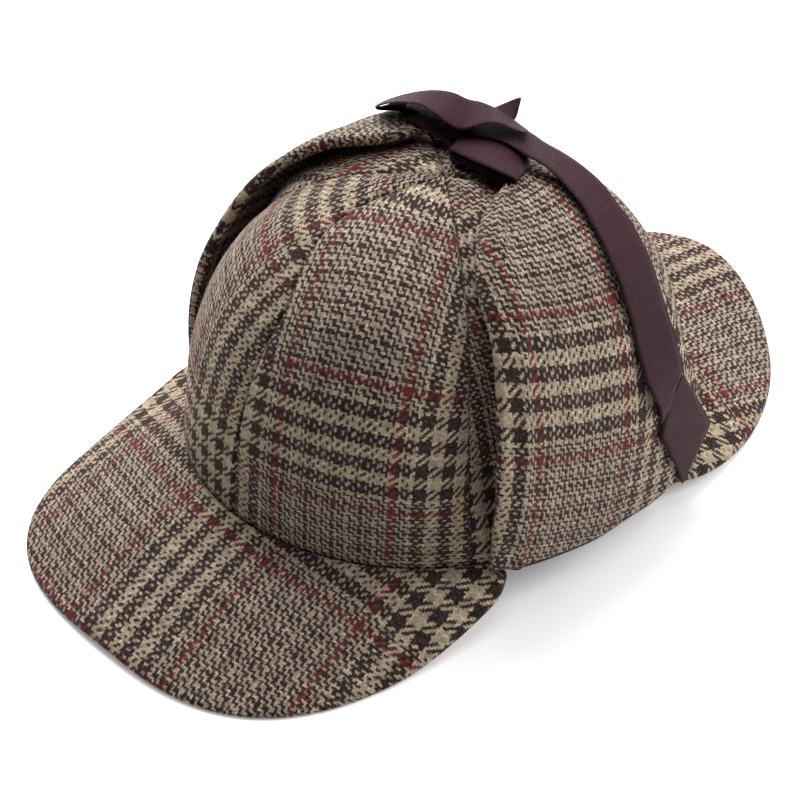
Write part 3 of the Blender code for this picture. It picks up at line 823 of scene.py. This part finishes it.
def add_peak(name, shape, tweed):
    """A stiffened peak with a rounded edge, pressed flat where it rests on the table."""
    facing = -math.cos(math.radians(shape["middle_angle"]))
    edge = peak_edge(shape)
    along = run_lengths(edge)
    half_length = along[-1]
    steps = rounded_steps(2 * half_length, PEAK_EDGE, PEAK_COLUMNS)[0]
    side = steps / half_length - 1
    share = np.abs(side)
    angle = shape["middle_angle"] - facing * side * shape["end_angle"]
    outward = dome_normal(angle, np.zeros_like(angle))
    outward[:, 2] = 0.0
    start = rim_point(angle) + unit(outward) * PEAK_GAP
    finish = points(
        np.interp(share * half_length, along, edge[:, 0]) * np.sign(side),
        np.interp(share * half_length, along, edge[:, 1]) * facing,
        edge_lift(shape, share) + PEAK_THICKNESS,
    )
    depth = np.linalg.norm(finish - start, axis=-1)[:, None]
    out = rounded_steps(depth[:, 0], PEAK_EDGE, PEAK_ROWS)
    out_share = out / depth
    top = between(start[:, None], finish[:, None], out_share[..., None])
    from_edge = np.minimum(out, depth - out)
    reach = between(run_lengths(start)[-1] / 2, half_length, out_share) / half_length
    from_end = np.minimum(steps, 2 * half_length - steps)[:, None] * reach
    bulge = PEAK_CROWN * (1 - share * share)[:, None] * np.sin(math.pi * out_share)
    settled = np.clip(from_edge / PEAK_SWELL_START, 0.0, 1.0)
    settled = settled * np.clip(top[..., 2] / PEAK_SWELL_HEIGHT, 0.0, 1.0)
    top[..., 2] += bulge + uneven(top) * settled
    thickness = np.minimum(PEAK_THICKNESS, top[..., 2])
    half = thickness / 2 * round_off(from_edge, PEAK_EDGE) * round_off(from_end, PEAK_EDGE)
    middle = top[..., 2] - thickness / 2
    outer, inner = top.copy(), top.copy()
    outer[..., 2], inner[..., 2] = middle + half, middle - half
    way = unit((finish - start)[:, :2])[:, None]
    flat = outer[..., :2] + way * turned_in(depth - out, PEAK_EDGE)[..., None]
    laid = peak_weave(PEAK_LAY[name], flat[..., 0], flat[..., 1])
    if facing > 0:
        outer, inner, laid = outer[:, ::-1], inner[:, ::-1], laid[:, ::-1]
    mesh = sheet_mesh(name + "_cloth", outer[::-1], inner[::-1], laid[::-1])
    add_piece(name + "_cloth", mesh, [name], [tweed])


# ==== ear flaps ====


def flap_grid(name):
    """A flap's table row by row, and shares across and distances in from the edges over it."""
    fine = np.linspace(0.0, 1.0, FLAP_FINE)
    spine = blend_rows(FLAP_TABLE, fine)
    climbs = run_lengths(dome_point((spine[:, 1] + spine[:, 2]) / 2, spine[:, 0]))
    up = rounded_steps(climbs[-1], FLAP_EDGE, FLAP_ROWS)[0]
    rows = blend_rows(FLAP_TABLE, np.interp(up, climbs, fine))
    grid = dict(zip(FLAP_ROW_NAMES, rows.T[..., None]))
    grid["front"] = grid["front"] + at_rise(FLAP_FRONT_BACK[name], grid["rise"])
    sweep = np.linspace(0.0, 1.0, SWEEP_FINE)
    across, from_front, from_back = [], [], []
    for front, back, rise in zip(grid["front"], grid["back"], grid["rise"]):
        lengths = run_lengths(dome_point(between(front, back, sweep), rise))
        lengths = lengths * (lengths[-1] + FLAP_EXTRA) / lengths[-1]
        steps = rounded_steps(lengths[-1], FLAP_EDGE, FLAP_COLUMNS)[0]
        across.append(np.interp(steps, lengths, sweep))
        from_front.append(steps)
        from_back.append(lengths[-1] - steps)
    grid["across"] = np.array(across)
    grid["from_front"] = np.array(from_front)
    grid["from_side"] = np.minimum(from_front, from_back)
    grid["from_end"] = np.minimum(up, climbs[-1] - up)[:, None]
    grid["up"] = up[:, None]
    return grid


def flap_lift(name, grid):
    """How far a flap stands off the crown, before its cloth swells."""
    front_foot, foot, tip = FLAP_STAND_OFF[name]
    start, end = FLAP_LOOSEN
    across, from_front = grid["across"], grid["from_front"]
    loosened = smooth_step((grid["rise"] - start) / (end - start))
    rest = between(foot, tip, loosened)
    front_side = grid["front_lift"] * between(front_foot, tip, loosened)
    side = np.where(across < 0.5, front_side, grid["back_lift"] * rest)
    lift = between(side, grid["middle_lift"] * rest, 1 - (2 * across - 1) ** 2)
    roll = np.clip(1 - from_front / FLAP_ROLL_WIDTH, 0.0, 1.0) ** 2
    crest = np.exp(-(((from_front - FLAP_ROLL_WIDTH) / FLAP_CREST_WIDTH) ** 2))
    drop = at_rise(FLAP_ROLL_DROP[name], grid["rise"])
    return lift * (1 - drop * roll) + FLAP_CREST[name] * crest


def flap_weave(outer, up):
    """The warp and weft thread at each place of the left flap's outer face."""
    beside = np.array([run_lengths(row) for row in outer])
    middle = [np.interp(0.0, row[:, 1], lengths) for row, lengths in zip(outer, beside)]
    beside = beside - np.array(middle)[:, None]
    above = up - turned_in(up, FLAP_EDGE)
    warp = WARP_PLAIN + RED_AFTER + RED_THREADS
    warp = warp + (beside - FLAP_WARP_LEAN * above) / FLAP_WARP_PITCH
    level = above + FLAP_DROOP * beside
    low, high = FLAP_RED_WEFTS
    weft = RED_BEFORE + (level - low) * (RED_AFTER - RED_BEFORE) / (high - low)
    return np.stack((warp, weft), axis=-1)


def add_flap(name, side, tweed, lining):
    """An ear flap: a thick soft sheet that stands off the crown, its front edge rolled in."""
    grid = flap_grid(name)
    angle = between(grid["front"], grid["back"], grid["across"])
    rise = over(grid["rise"], angle)
    normal = dome_normal(angle, rise)
    base = dome_point(angle, rise)
    settled = np.clip(grid["from_side"] / SWELL_START, 0.0, 1.0)
    swell = uneven(base * FLAP_SWELL_SCALE + FLAP_SWELL_SHIFT)
    lift = flap_lift(name, grid) + swell * settled
    share = round_off(grid["from_side"], FLAP_EDGE) * round_off(grid["from_end"], FLAP_EDGE)
    half = FLAP_THICKNESS / 2 * share
    outer = base + normal * (lift - FLAP_THICKNESS / 2 + half)[..., None]
    inner = base + normal * (lift - FLAP_THICKNESS / 2 - half)[..., None]
    fold = FLAP_BOTTOM_LIFT - FLAP_BOTTOM_SAG * np.sin(math.pi * grid["across"])
    fold = fold * (1 - smooth_step(rise / FLAP_BOTTOM_RISE))
    outer[..., 2] += fold
    inner[..., 2] += fold
    laid = flap_weave(outer, grid["up"])
    if side < 0:
        for face in (outer, inner):
            face[..., 0] *= -1
        outer, inner, laid = outer[:, ::-1], inner[:, ::-1], laid[:, ::-1]
    mesh = sheet_mesh(name + "_cloth", outer, inner, laid)
    piece = add_piece(name + "_cloth", mesh, [name], [tweed])
    binding = add_flap_binding(name, outer[0, BINDING_START:-BINDING_START], lining)
    declare_cloth(outer)


def add_flap_binding(name, edge, lining):
    """The black binding that shows along an ear flap's lower edge."""
    outward = unit(edge * (1.0, 1.0, 0.0))[None]
    along = run_lengths(edge)
    taper = smooth_step(np.minimum(along, along[-1] - along) / BINDING_TAPER)
    height = np.linspace(0.0, -1.0, BINDING_ROWS)[:, None] * (BINDING_END + BINDING_DEPTH * taper)
    line = edge[None] + points(0.0, 0.0, height) - outward * BINDING_INSET
    share = np.zeros(line.shape[:2])
    share[1:-1, 1:-1] = 1.0
    half = outward * (BINDING_THICKNESS / 2 * share)[..., None]
    laid = np.stack((over(along, share), line[..., 2]), axis=-1)
    mesh = sheet_mesh(name + "_binding_cloth", line + half, line - half, laid)
    return add_piece(name + "_binding_cloth", mesh, [name], [lining])


# ==== sweatband ====


def add_sweatband(lining):
    """The black band inside the crown's rim, whose lower edge hangs just below it."""
    angle, height = np.broadcast_arrays(
        np.linspace(0.0, 360.0, BAND_COLUMNS, endpoint=False)[None, :],
        np.linspace(-BAND_BELOW, BAND_HEIGHT - BAND_BELOW, BAND_ROWS)[:, None],
    )
    rise = rise_at(angle, height)
    depth = WALL + SEAM_DIP * seam_depth(rise) + BAND_GAP + tuck(angle, rise)
    normal = dome_normal(angle, rise)
    wall = dome_point(angle, rise) - normal * depth[..., None]
    wall[..., 2] = rim_point(angle)[..., 2] + height
    share = np.ones(BAND_ROWS)[:, None, None]
    share[0] = share[-1] = 0.0
    outer = wall - normal * BAND_THICKNESS / 2 * (1 - share)
    inner = wall - normal * BAND_THICKNESS / 2 * (1 + share)
    laid = np.stack((np.radians(angle) * RIM_HALF_WIDTH, height), axis=-1)
    mesh = sheet_mesh("sweatband_cloth", outer, inner, laid, closed_round=True)
    piece = add_piece("sweatband_cloth", mesh, ["sweatband"], [lining])
    closed = np.concatenate((outer, outer[:, :1]), axis=1)
    declare_cloth(closed)


# ==== ribbon ====


def ribbon_faces(stations):
    """The two faces of a stretch of ribbon, and its places across and along in millimetres."""
    fine = np.linspace(0.0, 1.0, RIBBON_FINE)
    lengths = run_lengths(blend_rows(stations, fine)[:, :3])
    count = max(int(lengths[-1] / RIBBON_STEP), RIBBON_LEAST_ROWS)
    length = np.linspace(0.0, lengths[-1], count + 1)
    row = blend_rows(stations, np.interp(length, lengths, fine))
    middle, (bearing, pitch, width) = row[:, :3], row[:, 3:].T
    bearing, pitch = np.radians(bearing), np.radians(pitch)
    across = points(
        np.cos(bearing) * np.cos(pitch),
        np.sin(bearing) * np.cos(pitch),
        np.sin(pitch),
    )
    normal = unit(np.cross(unit(np.gradient(middle, axis=0)), across))
    side = np.linspace(-0.5, 0.5, RIBBON_COLUMNS)
    line = middle[:, None] + across[:, None] * (side[None, :, None] * width[:, None, None])
    half = np.full((len(length), RIBBON_COLUMNS), RIBBON_THICKNESS / 2)
    half[[0, -1]] = half[:, [0, -1]] = 0.0
    outer = line + normal[:, None] * half[..., None]
    inner = line - normal[:, None] * half[..., None]
    laid = np.stack((side[None, :] * width[:, None], over(length[:, None], half)), axis=-1)
    return outer, inner, laid


def add_ribbon(name, nodes, stations, finishes):
    outer, inner, laid = ribbon_faces(stations)
    mesh = sheet_mesh(name, outer, inner, laid)
    piece = add_piece(name, mesh, nodes, finishes)
    declare_cloth((outer + inner) / 2)


def add_knot(grosgrain):
    """The knot, a soft band that pinches the bow's middle."""
    turn = np.linspace(0.0, 2 * math.pi, KNOT_COLUMNS, endpoint=False)[None, :]
    tilt = np.linspace(-math.pi / 2, math.pi / 2, KNOT_ROWS)[:, None]
    girth = power(np.cos(tilt), KNOT_SIDE_SHAPE)
    side = np.sin(tilt)
    x, y, z = np.moveaxis(points(
        girth * power(np.cos(turn), KNOT_ROUND_SHAPE),
        side,
        girth * power(np.sin(turn), KNOT_ROUND_SHAPE),
    ) * KNOT_HALF_SIZE, -1, 0)
    angle = math.radians(KNOT_TURN)
    place = points(
        x * math.cos(angle) - y * math.sin(angle),
        x * math.sin(angle) + y * math.cos(angle),
        z,
    ) + KNOT_MIDDLE
    number = np.arange(KNOT_ROWS * KNOT_COLUMNS).reshape(KNOT_ROWS, KNOT_COLUMNS)
    after = np.roll(number, -1, axis=1)
    faces = np.stack((number[:-1], number[1:], after[1:], after[:-1]), axis=-1).reshape(-1, 4)
    across, along = np.broadcast_arrays(side * KNOT_WEAVE[0], turn * KNOT_WEAVE[1])
    laid = np.stack((across, along), axis=-1).reshape(-1, 2)[faces]
    mesh = new_mesh("ribbon_knot_strip", place.reshape(-1, 3), faces, laid)
    piece = add_piece("ribbon_knot_strip", mesh, ["ribbon_knot"], [grosgrain])


# ==== finishes ====


class Bench:
    """Puts nodes into one tree, each in one short call."""

    def __init__(self, tree):
        self.nodes, self.links = tree.nodes, tree.links

    def put(self, kind, **settings):
        node = self.nodes.new("ShaderNode" + kind)
        for name, value in settings.items():
            setattr(node, name, value)
        return node

    def feed(self, socket, value):
        """Gives a socket a fixed value, or links it to what another node puts out."""
        if isinstance(value, bpy.types.NodeSocket):
            self.links.new(value, socket)
        else:
            socket.default_value = value

    def maths(self, operation, *values):
        node = self.put("Math", operation=operation)
        for socket, value in zip(node.inputs, values):
            self.feed(socket, value)
        return node.outputs[0]

    def blend(self, share, first, second, how="MIX"):
        """One colour over another."""
        node = self.put("Mix", data_type="RGBA", blend_type=how)
        self.feed(node.inputs[0], share)
        self.feed(node.inputs[6], first)
        self.feed(node.inputs[7], second)
        return node.outputs[2]

    def pick(self, share, first, second):
        """One number or the other."""
        node = self.put("Mix", data_type="FLOAT")
        self.feed(node.inputs[0], share)
        self.feed(node.inputs[2], first)
        self.feed(node.inputs[3], second)
        return node.outputs[0]

    def spread(self, value, low, high, to_low, to_high):
        """A number moved from one range to another, and kept inside it."""
        node = self.put("MapRange")
        for socket, given in zip(node.inputs, (value, low, high, to_low, to_high)):
            self.feed(socket, given)
        return node.outputs[0]

    def shades(self, *changes):
        """The product of several changes of shade, each with what spread asks for."""
        shade = self.spread(*changes[0])
        for change in changes[1:]:
            shade = self.maths("MULTIPLY", shade, self.spread(*change))
        return shade

    def darken(self, colour, shade):
        return self.blend(1.0, colour, self.place(shade, shade, shade), how="MULTIPLY")

    def place(self, x, y, z=0.0):
        node = self.put("CombineXYZ")
        for socket, value in zip(node.inputs, (x, y, z)):
            self.feed(socket, value)
        return node.outputs[0]

    def mottle(self, vector, scale, detail=2.0, roughness=0.5):
        node = self.put("TexNoise")
        self.feed(node.inputs["Vector"], vector)
        self.feed(node.inputs["Scale"], scale)
        self.feed(node.inputs["Detail"], detail)
        self.feed(node.inputs["Roughness"], roughness)
        return node.outputs["Fac"]

    def ragged(self, value, vector, start):
        """A number that wanders a little from place to place, as hairy threads do."""
        moved = self.put("VectorMath", operation="ADD")
        self.feed(moved.inputs[0], vector)
        self.feed(moved.inputs[1], (start, start, start))
        fine = self.mottle(moved.outputs[0], FUZZ_SCALE, 2.0, 0.6)
        broad = self.mottle(moved.outputs[0], WANDER_SCALE, 1.0)
        fine = self.maths("MULTIPLY", self.maths("SUBTRACT", fine, 0.5), FUZZ)
        broad = self.maths("MULTIPLY", self.maths("SUBTRACT", broad, 0.5), WANDER)
        return self.maths("ADD", value, self.maths("ADD", fine, broad))

    def chance(self, x, y, z):
        """A number from 0 to 1 for each whole place."""
        node = self.put("TexWhiteNoise", noise_dimensions="3D")
        self.feed(node.inputs["Vector"], self.place(x, y, z))
        return node.outputs["Value"]

    def place_group(self, group, **values):
        node = self.put("Group", node_tree=group)
        for name, value in values.items():
            self.feed(node.inputs[name.replace("_", " ")], value)
        return node.outputs


def new_group(name, inputs, outputs):
    tree = bpy.data.node_groups.new(name, "ShaderNodeTree")
    for label, kind, value in inputs:
        socket = tree.interface.new_socket(label, in_out="INPUT", socket_type="NodeSocket" + kind)
        socket.default_value = value
    for label, kind in outputs:
        tree.interface.new_socket(label, in_out="OUTPUT", socket_type="NodeSocket" + kind)
    given = tree.nodes.new("NodeGroupInput").outputs
    result = tree.nodes.new("NodeGroupOutput").inputs
    return tree, Bench(tree), given, result


def check_yarn_group():
    """Which colour of yarn a thread is, from its number.

    The threads repeat: the stripes, their edge, a red line, the plain check, and then the other
    red line and the other edge. What follows the plain check is counted back from the repeat's end.
    """
    tree, bench, given, result = new_group(
        "check yarn",
        [("Thread", "Float", 0.0), ("Plain Threads", "Float", WARP_PLAIN)],
        [("Light", "Float"), ("Red", "Float"), ("Stripe", "Float")],
    )
    fixed = STRIPE_THREADS + 2 * EDGE_THREADS + 2 * RED_THREADS
    repeat = bench.maths("ADD", given["Plain Threads"], fixed)
    number = bench.maths("FLOORED_MODULO", bench.maths("ADD", given["Thread"], 0.5), repeat)
    whole = bench.maths("FLOOR", number)
    left = bench.maths("SUBTRACT", repeat, number)
    band = bench.maths("DIVIDE", bench.maths("ADD", number, STRIPE_BAND_START), STRIPE_BAND)
    band = bench.maths("FLOORED_MODULO", bench.maths("FLOOR", band), 2.0)
    light_band = bench.maths("SUBTRACT", 1.0, band)
    odd = bench.maths("FLOORED_MODULO", whole, 2.0)
    odd_left = bench.maths("FLOORED_MODULO", bench.maths("CEIL", left), 2.0)
    cycle = bench.maths("SUBTRACT", whole, STRIPE_THREADS + EDGE_THREADS + RED_THREADS)
    cycle = bench.maths("FLOORED_MODULO", cycle, PLAIN_CYCLE)
    swapped = bench.maths("COMPARE", cycle, *PLAIN_SWAP)
    odd_cycle = bench.maths("FLOORED_MODULO", cycle, 2.0)
    plain = bench.maths("ABSOLUTE", bench.maths("SUBTRACT", odd_cycle, swapped))
    far_edge = bench.maths("LESS_THAN", left, EDGE_THREADS)
    light = bench.pick(far_edge, plain, bench.maths("SUBTRACT", 1.0, odd_left))
    near_edge = bench.maths("LESS_THAN", number, STRIPE_THREADS + EDGE_THREADS)
    light = bench.pick(near_edge, light, odd)
    in_stripes = bench.maths("LESS_THAN", number, STRIPE_THREADS)
    bench.feed(result["Light"], bench.pick(in_stripes, light, light_band))
    bench.feed(result["Stripe"], in_stripes)
    red_middle, red_reach = RED_LINE
    after = bench.maths("COMPARE", number, STRIPE_THREADS + EDGE_THREADS + red_middle, red_reach)
    before = bench.maths("COMPARE", left, EDGE_THREADS + red_middle, red_reach)
    bench.feed(result["Red"], bench.maths("MAXIMUM", after, before))
    return tree


def twill_group(check_yarn):
    """Glen check in two-and-two twill: the colour of the yarn on top, with shade painted between
    the threads and light on their tops, and the height of its face.
    """
    tree, bench, given, result = new_group(
        "glen check twill",
        [
            ("Warp", "Float", 0.0),
            ("Weft", "Float", 0.0),
            ("Light Yarn", "Color", LIGHT_YARN),
            ("Cream Yarn", "Color", CREAM_YARN),
            ("Dark Yarn", "Color", DARK_YARN),
            ("Red Yarn", "Color", RED_YARN),
            ("Shadow", "Float", TWEED_SHADOW),
        ],
        [("Colour", "Color"), ("Height", "Float")],
    )
    place = bench.place(given["Warp"], given["Weft"])
    warp = bench.ragged(given["Warp"], place, WARP_WANDERS)
    weft = bench.ragged(given["Weft"], place, WEFT_WANDERS)
    warp_number, weft_number = bench.maths("FLOOR", warp), bench.maths("FLOOR", weft)
    # A run is how far along a thread a place lies: it is on top for two threads, then under two.
    warp_run = bench.maths("SUBTRACT", bench.maths("ADD", weft, 1.0), warp_number)
    warp_run = bench.maths("FLOORED_MODULO", warp_run, 2 * FLOAT_THREADS)
    weft_run = bench.maths("SUBTRACT", bench.maths("SUBTRACT", warp, FLOAT_THREADS), weft_number)
    weft_run = bench.maths("FLOORED_MODULO", weft_run, 2 * FLOAT_THREADS)
    on_top = bench.maths("LESS_THAN", warp_run, FLOAT_THREADS)
    number = bench.pick(on_top, weft_number, warp_number)
    plain = bench.pick(on_top, WEFT_PLAIN, WARP_PLAIN)
    yarn = bench.place_group(check_yarn, Thread=number, Plain_Threads=plain)
    side = bench.pick(on_top, bench.maths("FRACT", weft), bench.maths("FRACT", warp))
    run = bench.maths("MULTIPLY", bench.pick(on_top, weft_run, warp_run), 1 / FLOAT_THREADS)
    round_side = bench.maths("SINE", bench.maths("MULTIPLY", side, math.pi))
    round_run = bench.maths("SINE", bench.maths("MULTIPLY", run, math.pi))
    side_height = bench.maths("POWER", round_side, THREAD_SHAPE)
    run_height = bench.maths("POWER", bench.maths("MAXIMUM", round_run, 0.0), FLOAT_SHAPE)
    run_height = bench.spread(run_height, 0.0, 1.0, FLOAT_DIP, 1.0)
    height = bench.maths("MULTIPLY", side_height, run_height)
    along = bench.pick(on_top, warp, weft)
    stitch_number = bench.maths("FLOOR", bench.maths("MULTIPLY", along, 1 / FLOAT_THREADS))
    # The last number of each place below only keeps one chance or noise apart from another.
    thread = bench.chance(number, on_top, 3.0)
    stitch = bench.chance(number, stitch_number, bench.maths("ADD", on_top, 7.0))
    slub_place = bench.place(bench.maths("MULTIPLY", number, SLUB_APART), along, on_top)
    slub = bench.mottle(slub_place, SLUB_SCALE)
    fibre = bench.mottle(bench.place(warp, weft, 5.0), *FIBRE)
    hair_place = bench.place(bench.maths("MULTIPLY", warp, HAIR_NARROWS), weft, 9.0)
    hairs = bench.mottle(hair_place, *HAIR)
    light = bench.blend(yarn["Stripe"], given["Light Yarn"], given["Cream Yarn"])
    colour = bench.blend(yarn["Light"], given["Dark Yarn"], light)
    colour = bench.blend(yarn["Red"], colour, given["Red Yarn"])
    colour = bench.blend(bench.spread(hairs, *LIGHT_HAIRS), colour, given["Light Yarn"])
    colour = bench.blend(bench.spread(hairs, *DARK_HAIRS), colour, given["Dark Yarn"])
    shade = bench.shades(
        (thread, *THREAD_SHADES),
        (stitch, *STITCH_SHADES),
        (slub, *SLUB_SHADES),
        (fibre, *FIBRE_SHADES),
        # painted shade between the threads and painted light on their tops, from the face's height
        (height, 0.0, 1.0, bench.maths("SUBTRACT", 1.0, given["Shadow"]), TWEED_LIT),
    )
    bench.feed(result["Colour"], bench.darken(colour, shade))
    ruffled = bench.maths("MULTIPLY", bench.maths("SUBTRACT", fibre, 0.5), FIBRE_RELIEF)
    bench.feed(result["Height"], bench.maths("ADD", height, ruffled))
    return tree


def grosgrain_group():
    """Close ribs across a ribbon, from its places in millimetres, with shade painted in their
    grooves and light on their crests.
    """
    tree, bench, given, result = new_group(
        "grosgrain ribs",
        [("Across", "Float", 0.0), ("Along", "Float", 0.0), ("Rib", "Float", RIB_PITCH)],
        [("Shade", "Float"), ("Height", "Float")],
    )
    turn = bench.maths("DIVIDE", given["Along"], given["Rib"])
    rib = bench.maths("ABSOLUTE", bench.maths("SINE", bench.maths("MULTIPLY", turn, math.pi)))
    rib = bench.maths("POWER", rib, RIB_SHAPE)
    thread = bench.maths("MULTIPLY", given["Across"], 2 * math.pi / RIBBON_THREAD_PITCH)
    thread = bench.maths("MULTIPLY", bench.maths("SINE", thread), RIBBON_THREAD_RELIEF)
    height = bench.maths("ADD", rib, bench.maths("MULTIPLY", thread, rib))
    each = bench.chance(bench.maths("FLOOR", turn), 1.0, 2.0)
    worn = bench.mottle(bench.place(given["Across"], given["Along"], 1.0), *RIBBON_WEAR)
    # the rib's height paints shade into its grooves and light onto its crests
    shade = bench.shades((rib, *RIB_GROOVE_PAINTED_SHADES), (each, *RIB_BY_RIB_SHADES), (worn, *WORN_SHADES))
    bench.feed(result["Shade"], shade)
    bench.feed(result["Height"], height)
    return tree


def new_finish(name, **values):
    """A material with fixed values on its shader, and the weave's two places to lay it by."""
    finish = bpy.data.materials.new(name)
    finish.use_nodes = True
    bench = Bench(finish.node_tree)
    shader = finish.node_tree.nodes["Principled BSDF"]
    for label, value in values.items():
        bench.feed(shader.inputs[label.replace("_", " ")], value)
    weave = bench.put("UVMap", uv_map="weave")
    apart = bench.put("SeparateXYZ")
    bench.feed(apart.inputs[0], weave.outputs[0])
    return finish, bench, shader, apart.outputs[0], apart.outputs[1]


def add_bump(bench, shader, height, distance, strength=1.0):
    bump = bench.put("Bump")
    bench.feed(bump.inputs["Height"], height)
    bench.feed(bump.inputs["Distance"], distance * MM)
    bench.feed(bump.inputs["Strength"], strength)
    bench.feed(shader.inputs["Normal"], bump.outputs["Normal"])


def tweed_finish(twill):
    finish, bench, shader, warp, weft = new_finish(
        "glen_check_tweed",
        Roughness=0.92,
        Specular_IOR_Level=0.08,
        Sheen_Weight=0.08,
        Sheen_Roughness=0.45,
        Sheen_Tint=(0.95, 0.88, 0.8, 1.0),
    )
    cloth = bench.place_group(
        twill,
        Warp=warp,
        Weft=weft,
        Light_Yarn=LIGHT_YARN,
        Cream_Yarn=CREAM_YARN,
        Dark_Yarn=DARK_YARN,
        Red_Yarn=RED_YARN,
        Shadow=TWEED_SHADOW,
    )
    bench.feed(shader.inputs["Base Color"], cloth["Colour"])
    add_bump(bench, shader, cloth["Height"], TWEED_RELIEF, strength=0.7)
    return finish


def ribbon_finish(name, ribs, ribbon_colour, shine, relief):
    finish, bench, shader, across, along = new_finish(
        name,
        Roughness=0.55,
        Specular_IOR_Level=shine,
        Sheen_Weight=shine / 3,
        Sheen_Roughness=0.35,
        Sheen_Tint=(1.0, 0.82, 0.88, 1.0),
    )
    cloth = bench.place_group(ribs, Across=across, Along=along)
    bench.feed(shader.inputs["Base Color"], bench.darken(ribbon_colour, cloth["Shade"]))
    add_bump(bench, shader, cloth["Height"], RIB_RELIEF, strength=relief)
    return finish


def lining_finish():
    finish, bench, shader, across, along = new_finish("black_lining", Roughness=0.8)
    grain = bench.mottle(bench.place(across, along), *LINING_GRAIN)
    bench.feed(shader.inputs["Base Color"], bench.blend(grain, LINING_DARK, LINING_LIGHT))
    add_bump(bench, shader, grain, LINING_RELIEF)
    return finish


# ==== view and light ====


def add_floor():
    bpy.ops.mesh.primitive_plane_add(size=FLOOR_SIZE, location=(0.0, 0.0, 0.0))
    floor = bpy.context.object
    floor.name = "floor"
    paper = bpy.data.materials.new("white_paper")
    paper.use_nodes = True
    shader = paper.node_tree.nodes["Principled BSDF"]
    shader.inputs["Base Color"].default_value = (0.93, 0.93, 0.93, 1.0)
    shader.inputs["Roughness"].default_value = 0.9
    shader.inputs["Specular IOR Level"].default_value = 0.1
    shader.inputs["Emission Color"].default_value = (1.0, 1.0, 1.0, 1.0)
    shader.inputs["Emission Strength"].default_value = FLOOR_GLOW
    floor.data.materials.append(paper)


def add_lamp(name, place, width, watts):
    lamp = bpy.data.lights.new(name, "AREA")
    lamp.shape = "DISK"
    lamp.size = width
    lamp.energy = watts
    holder = bpy.data.objects.new(name, lamp)
    bpy.context.scene.collection.objects.link(holder)
    holder.location = place
    way = Vector(LAMP_AIM) - Vector(place)
    holder.rotation_euler = way.to_track_quat("-Z", "Y").to_euler()


def add_light():
    world = bpy.data.worlds.new("studio")
    bpy.context.scene.world = world
    world.use_nodes = True
    sky = world.node_tree.nodes["Background"]
    sky.inputs["Color"].default_value = (1.0, 1.0, 1.0, 1.0)
    sky.inputs["Strength"].default_value = SKY_STRENGTH
    for lamp in LAMPS:
        add_lamp(*lamp)


def add_camera():
    azimuth, elevation = math.radians(VIEW_AZIMUTH), math.radians(VIEW_ELEVATION)
    back = Vector((
        math.sin(azimuth) * math.cos(elevation),
        -math.cos(azimuth) * math.cos(elevation),
        math.sin(elevation),
    ))
    right = Vector((math.cos(azimuth), math.sin(azimuth), 0.0))
    up = back.cross(right)
    focal = VIEW_LENS / VIEW_SENSOR * PICTURE
    aim = -back
    aim += right * ((PICTURE / 2 - VIEW_TARGET_PLACE[0]) / focal)
    aim += up * ((VIEW_TARGET_PLACE[1] - PICTURE / 2) / focal)
    camera = bpy.data.cameras.new("camera")
    camera.lens = VIEW_LENS
    camera.sensor_width = VIEW_SENSOR
    holder = bpy.data.objects.new("camera", camera)
    bpy.context.scene.collection.objects.link(holder)
    holder.location = (Vector(VIEW_TARGET) + back * VIEW_DISTANCE) * MM
    holder.rotation_euler = aim.to_track_quat("-Z", "Y").to_euler()
    bpy.context.scene.camera = holder


def build():
    add_camera()
    add_light()
    add_floor()
    bpy.context.scene.view_settings.view_transform = "Standard"
    tweed = tweed_finish(twill_group(check_yarn_group()))
    lining = lining_finish()
    ribs = grosgrain_group()
    grosgrain = ribbon_finish("plum_brown_grosgrain", ribs, RIBBON_DYE, shine=0.06, relief=1.0)
    # the ribbon's back faces take a darker copy of its finish, as painted shade
    underside = ribbon_finish("grosgrain_underside_painted_shade", ribs, RIBBON_DYE_IN_PAINTED_SHADE, shine=0.0, relief=0.3)
    for seam in range(PANELS):
        add_panel(seam, tweed, lining)
    add_peak("front_peak", FRONT_PEAK, tweed)
    add_peak("back_peak", BACK_PEAK, tweed)
    add_flap("ear_flap_left", 1, tweed, lining)
    add_flap("ear_flap_right", -1, tweed, lining)
    add_sweatband(lining)
    for name, (nodes, held, rests_on, stations) in RIBBONS.items():
        add_ribbon(name, nodes, stations, [grosgrain, underside])
    add_knot(grosgrain)


build()
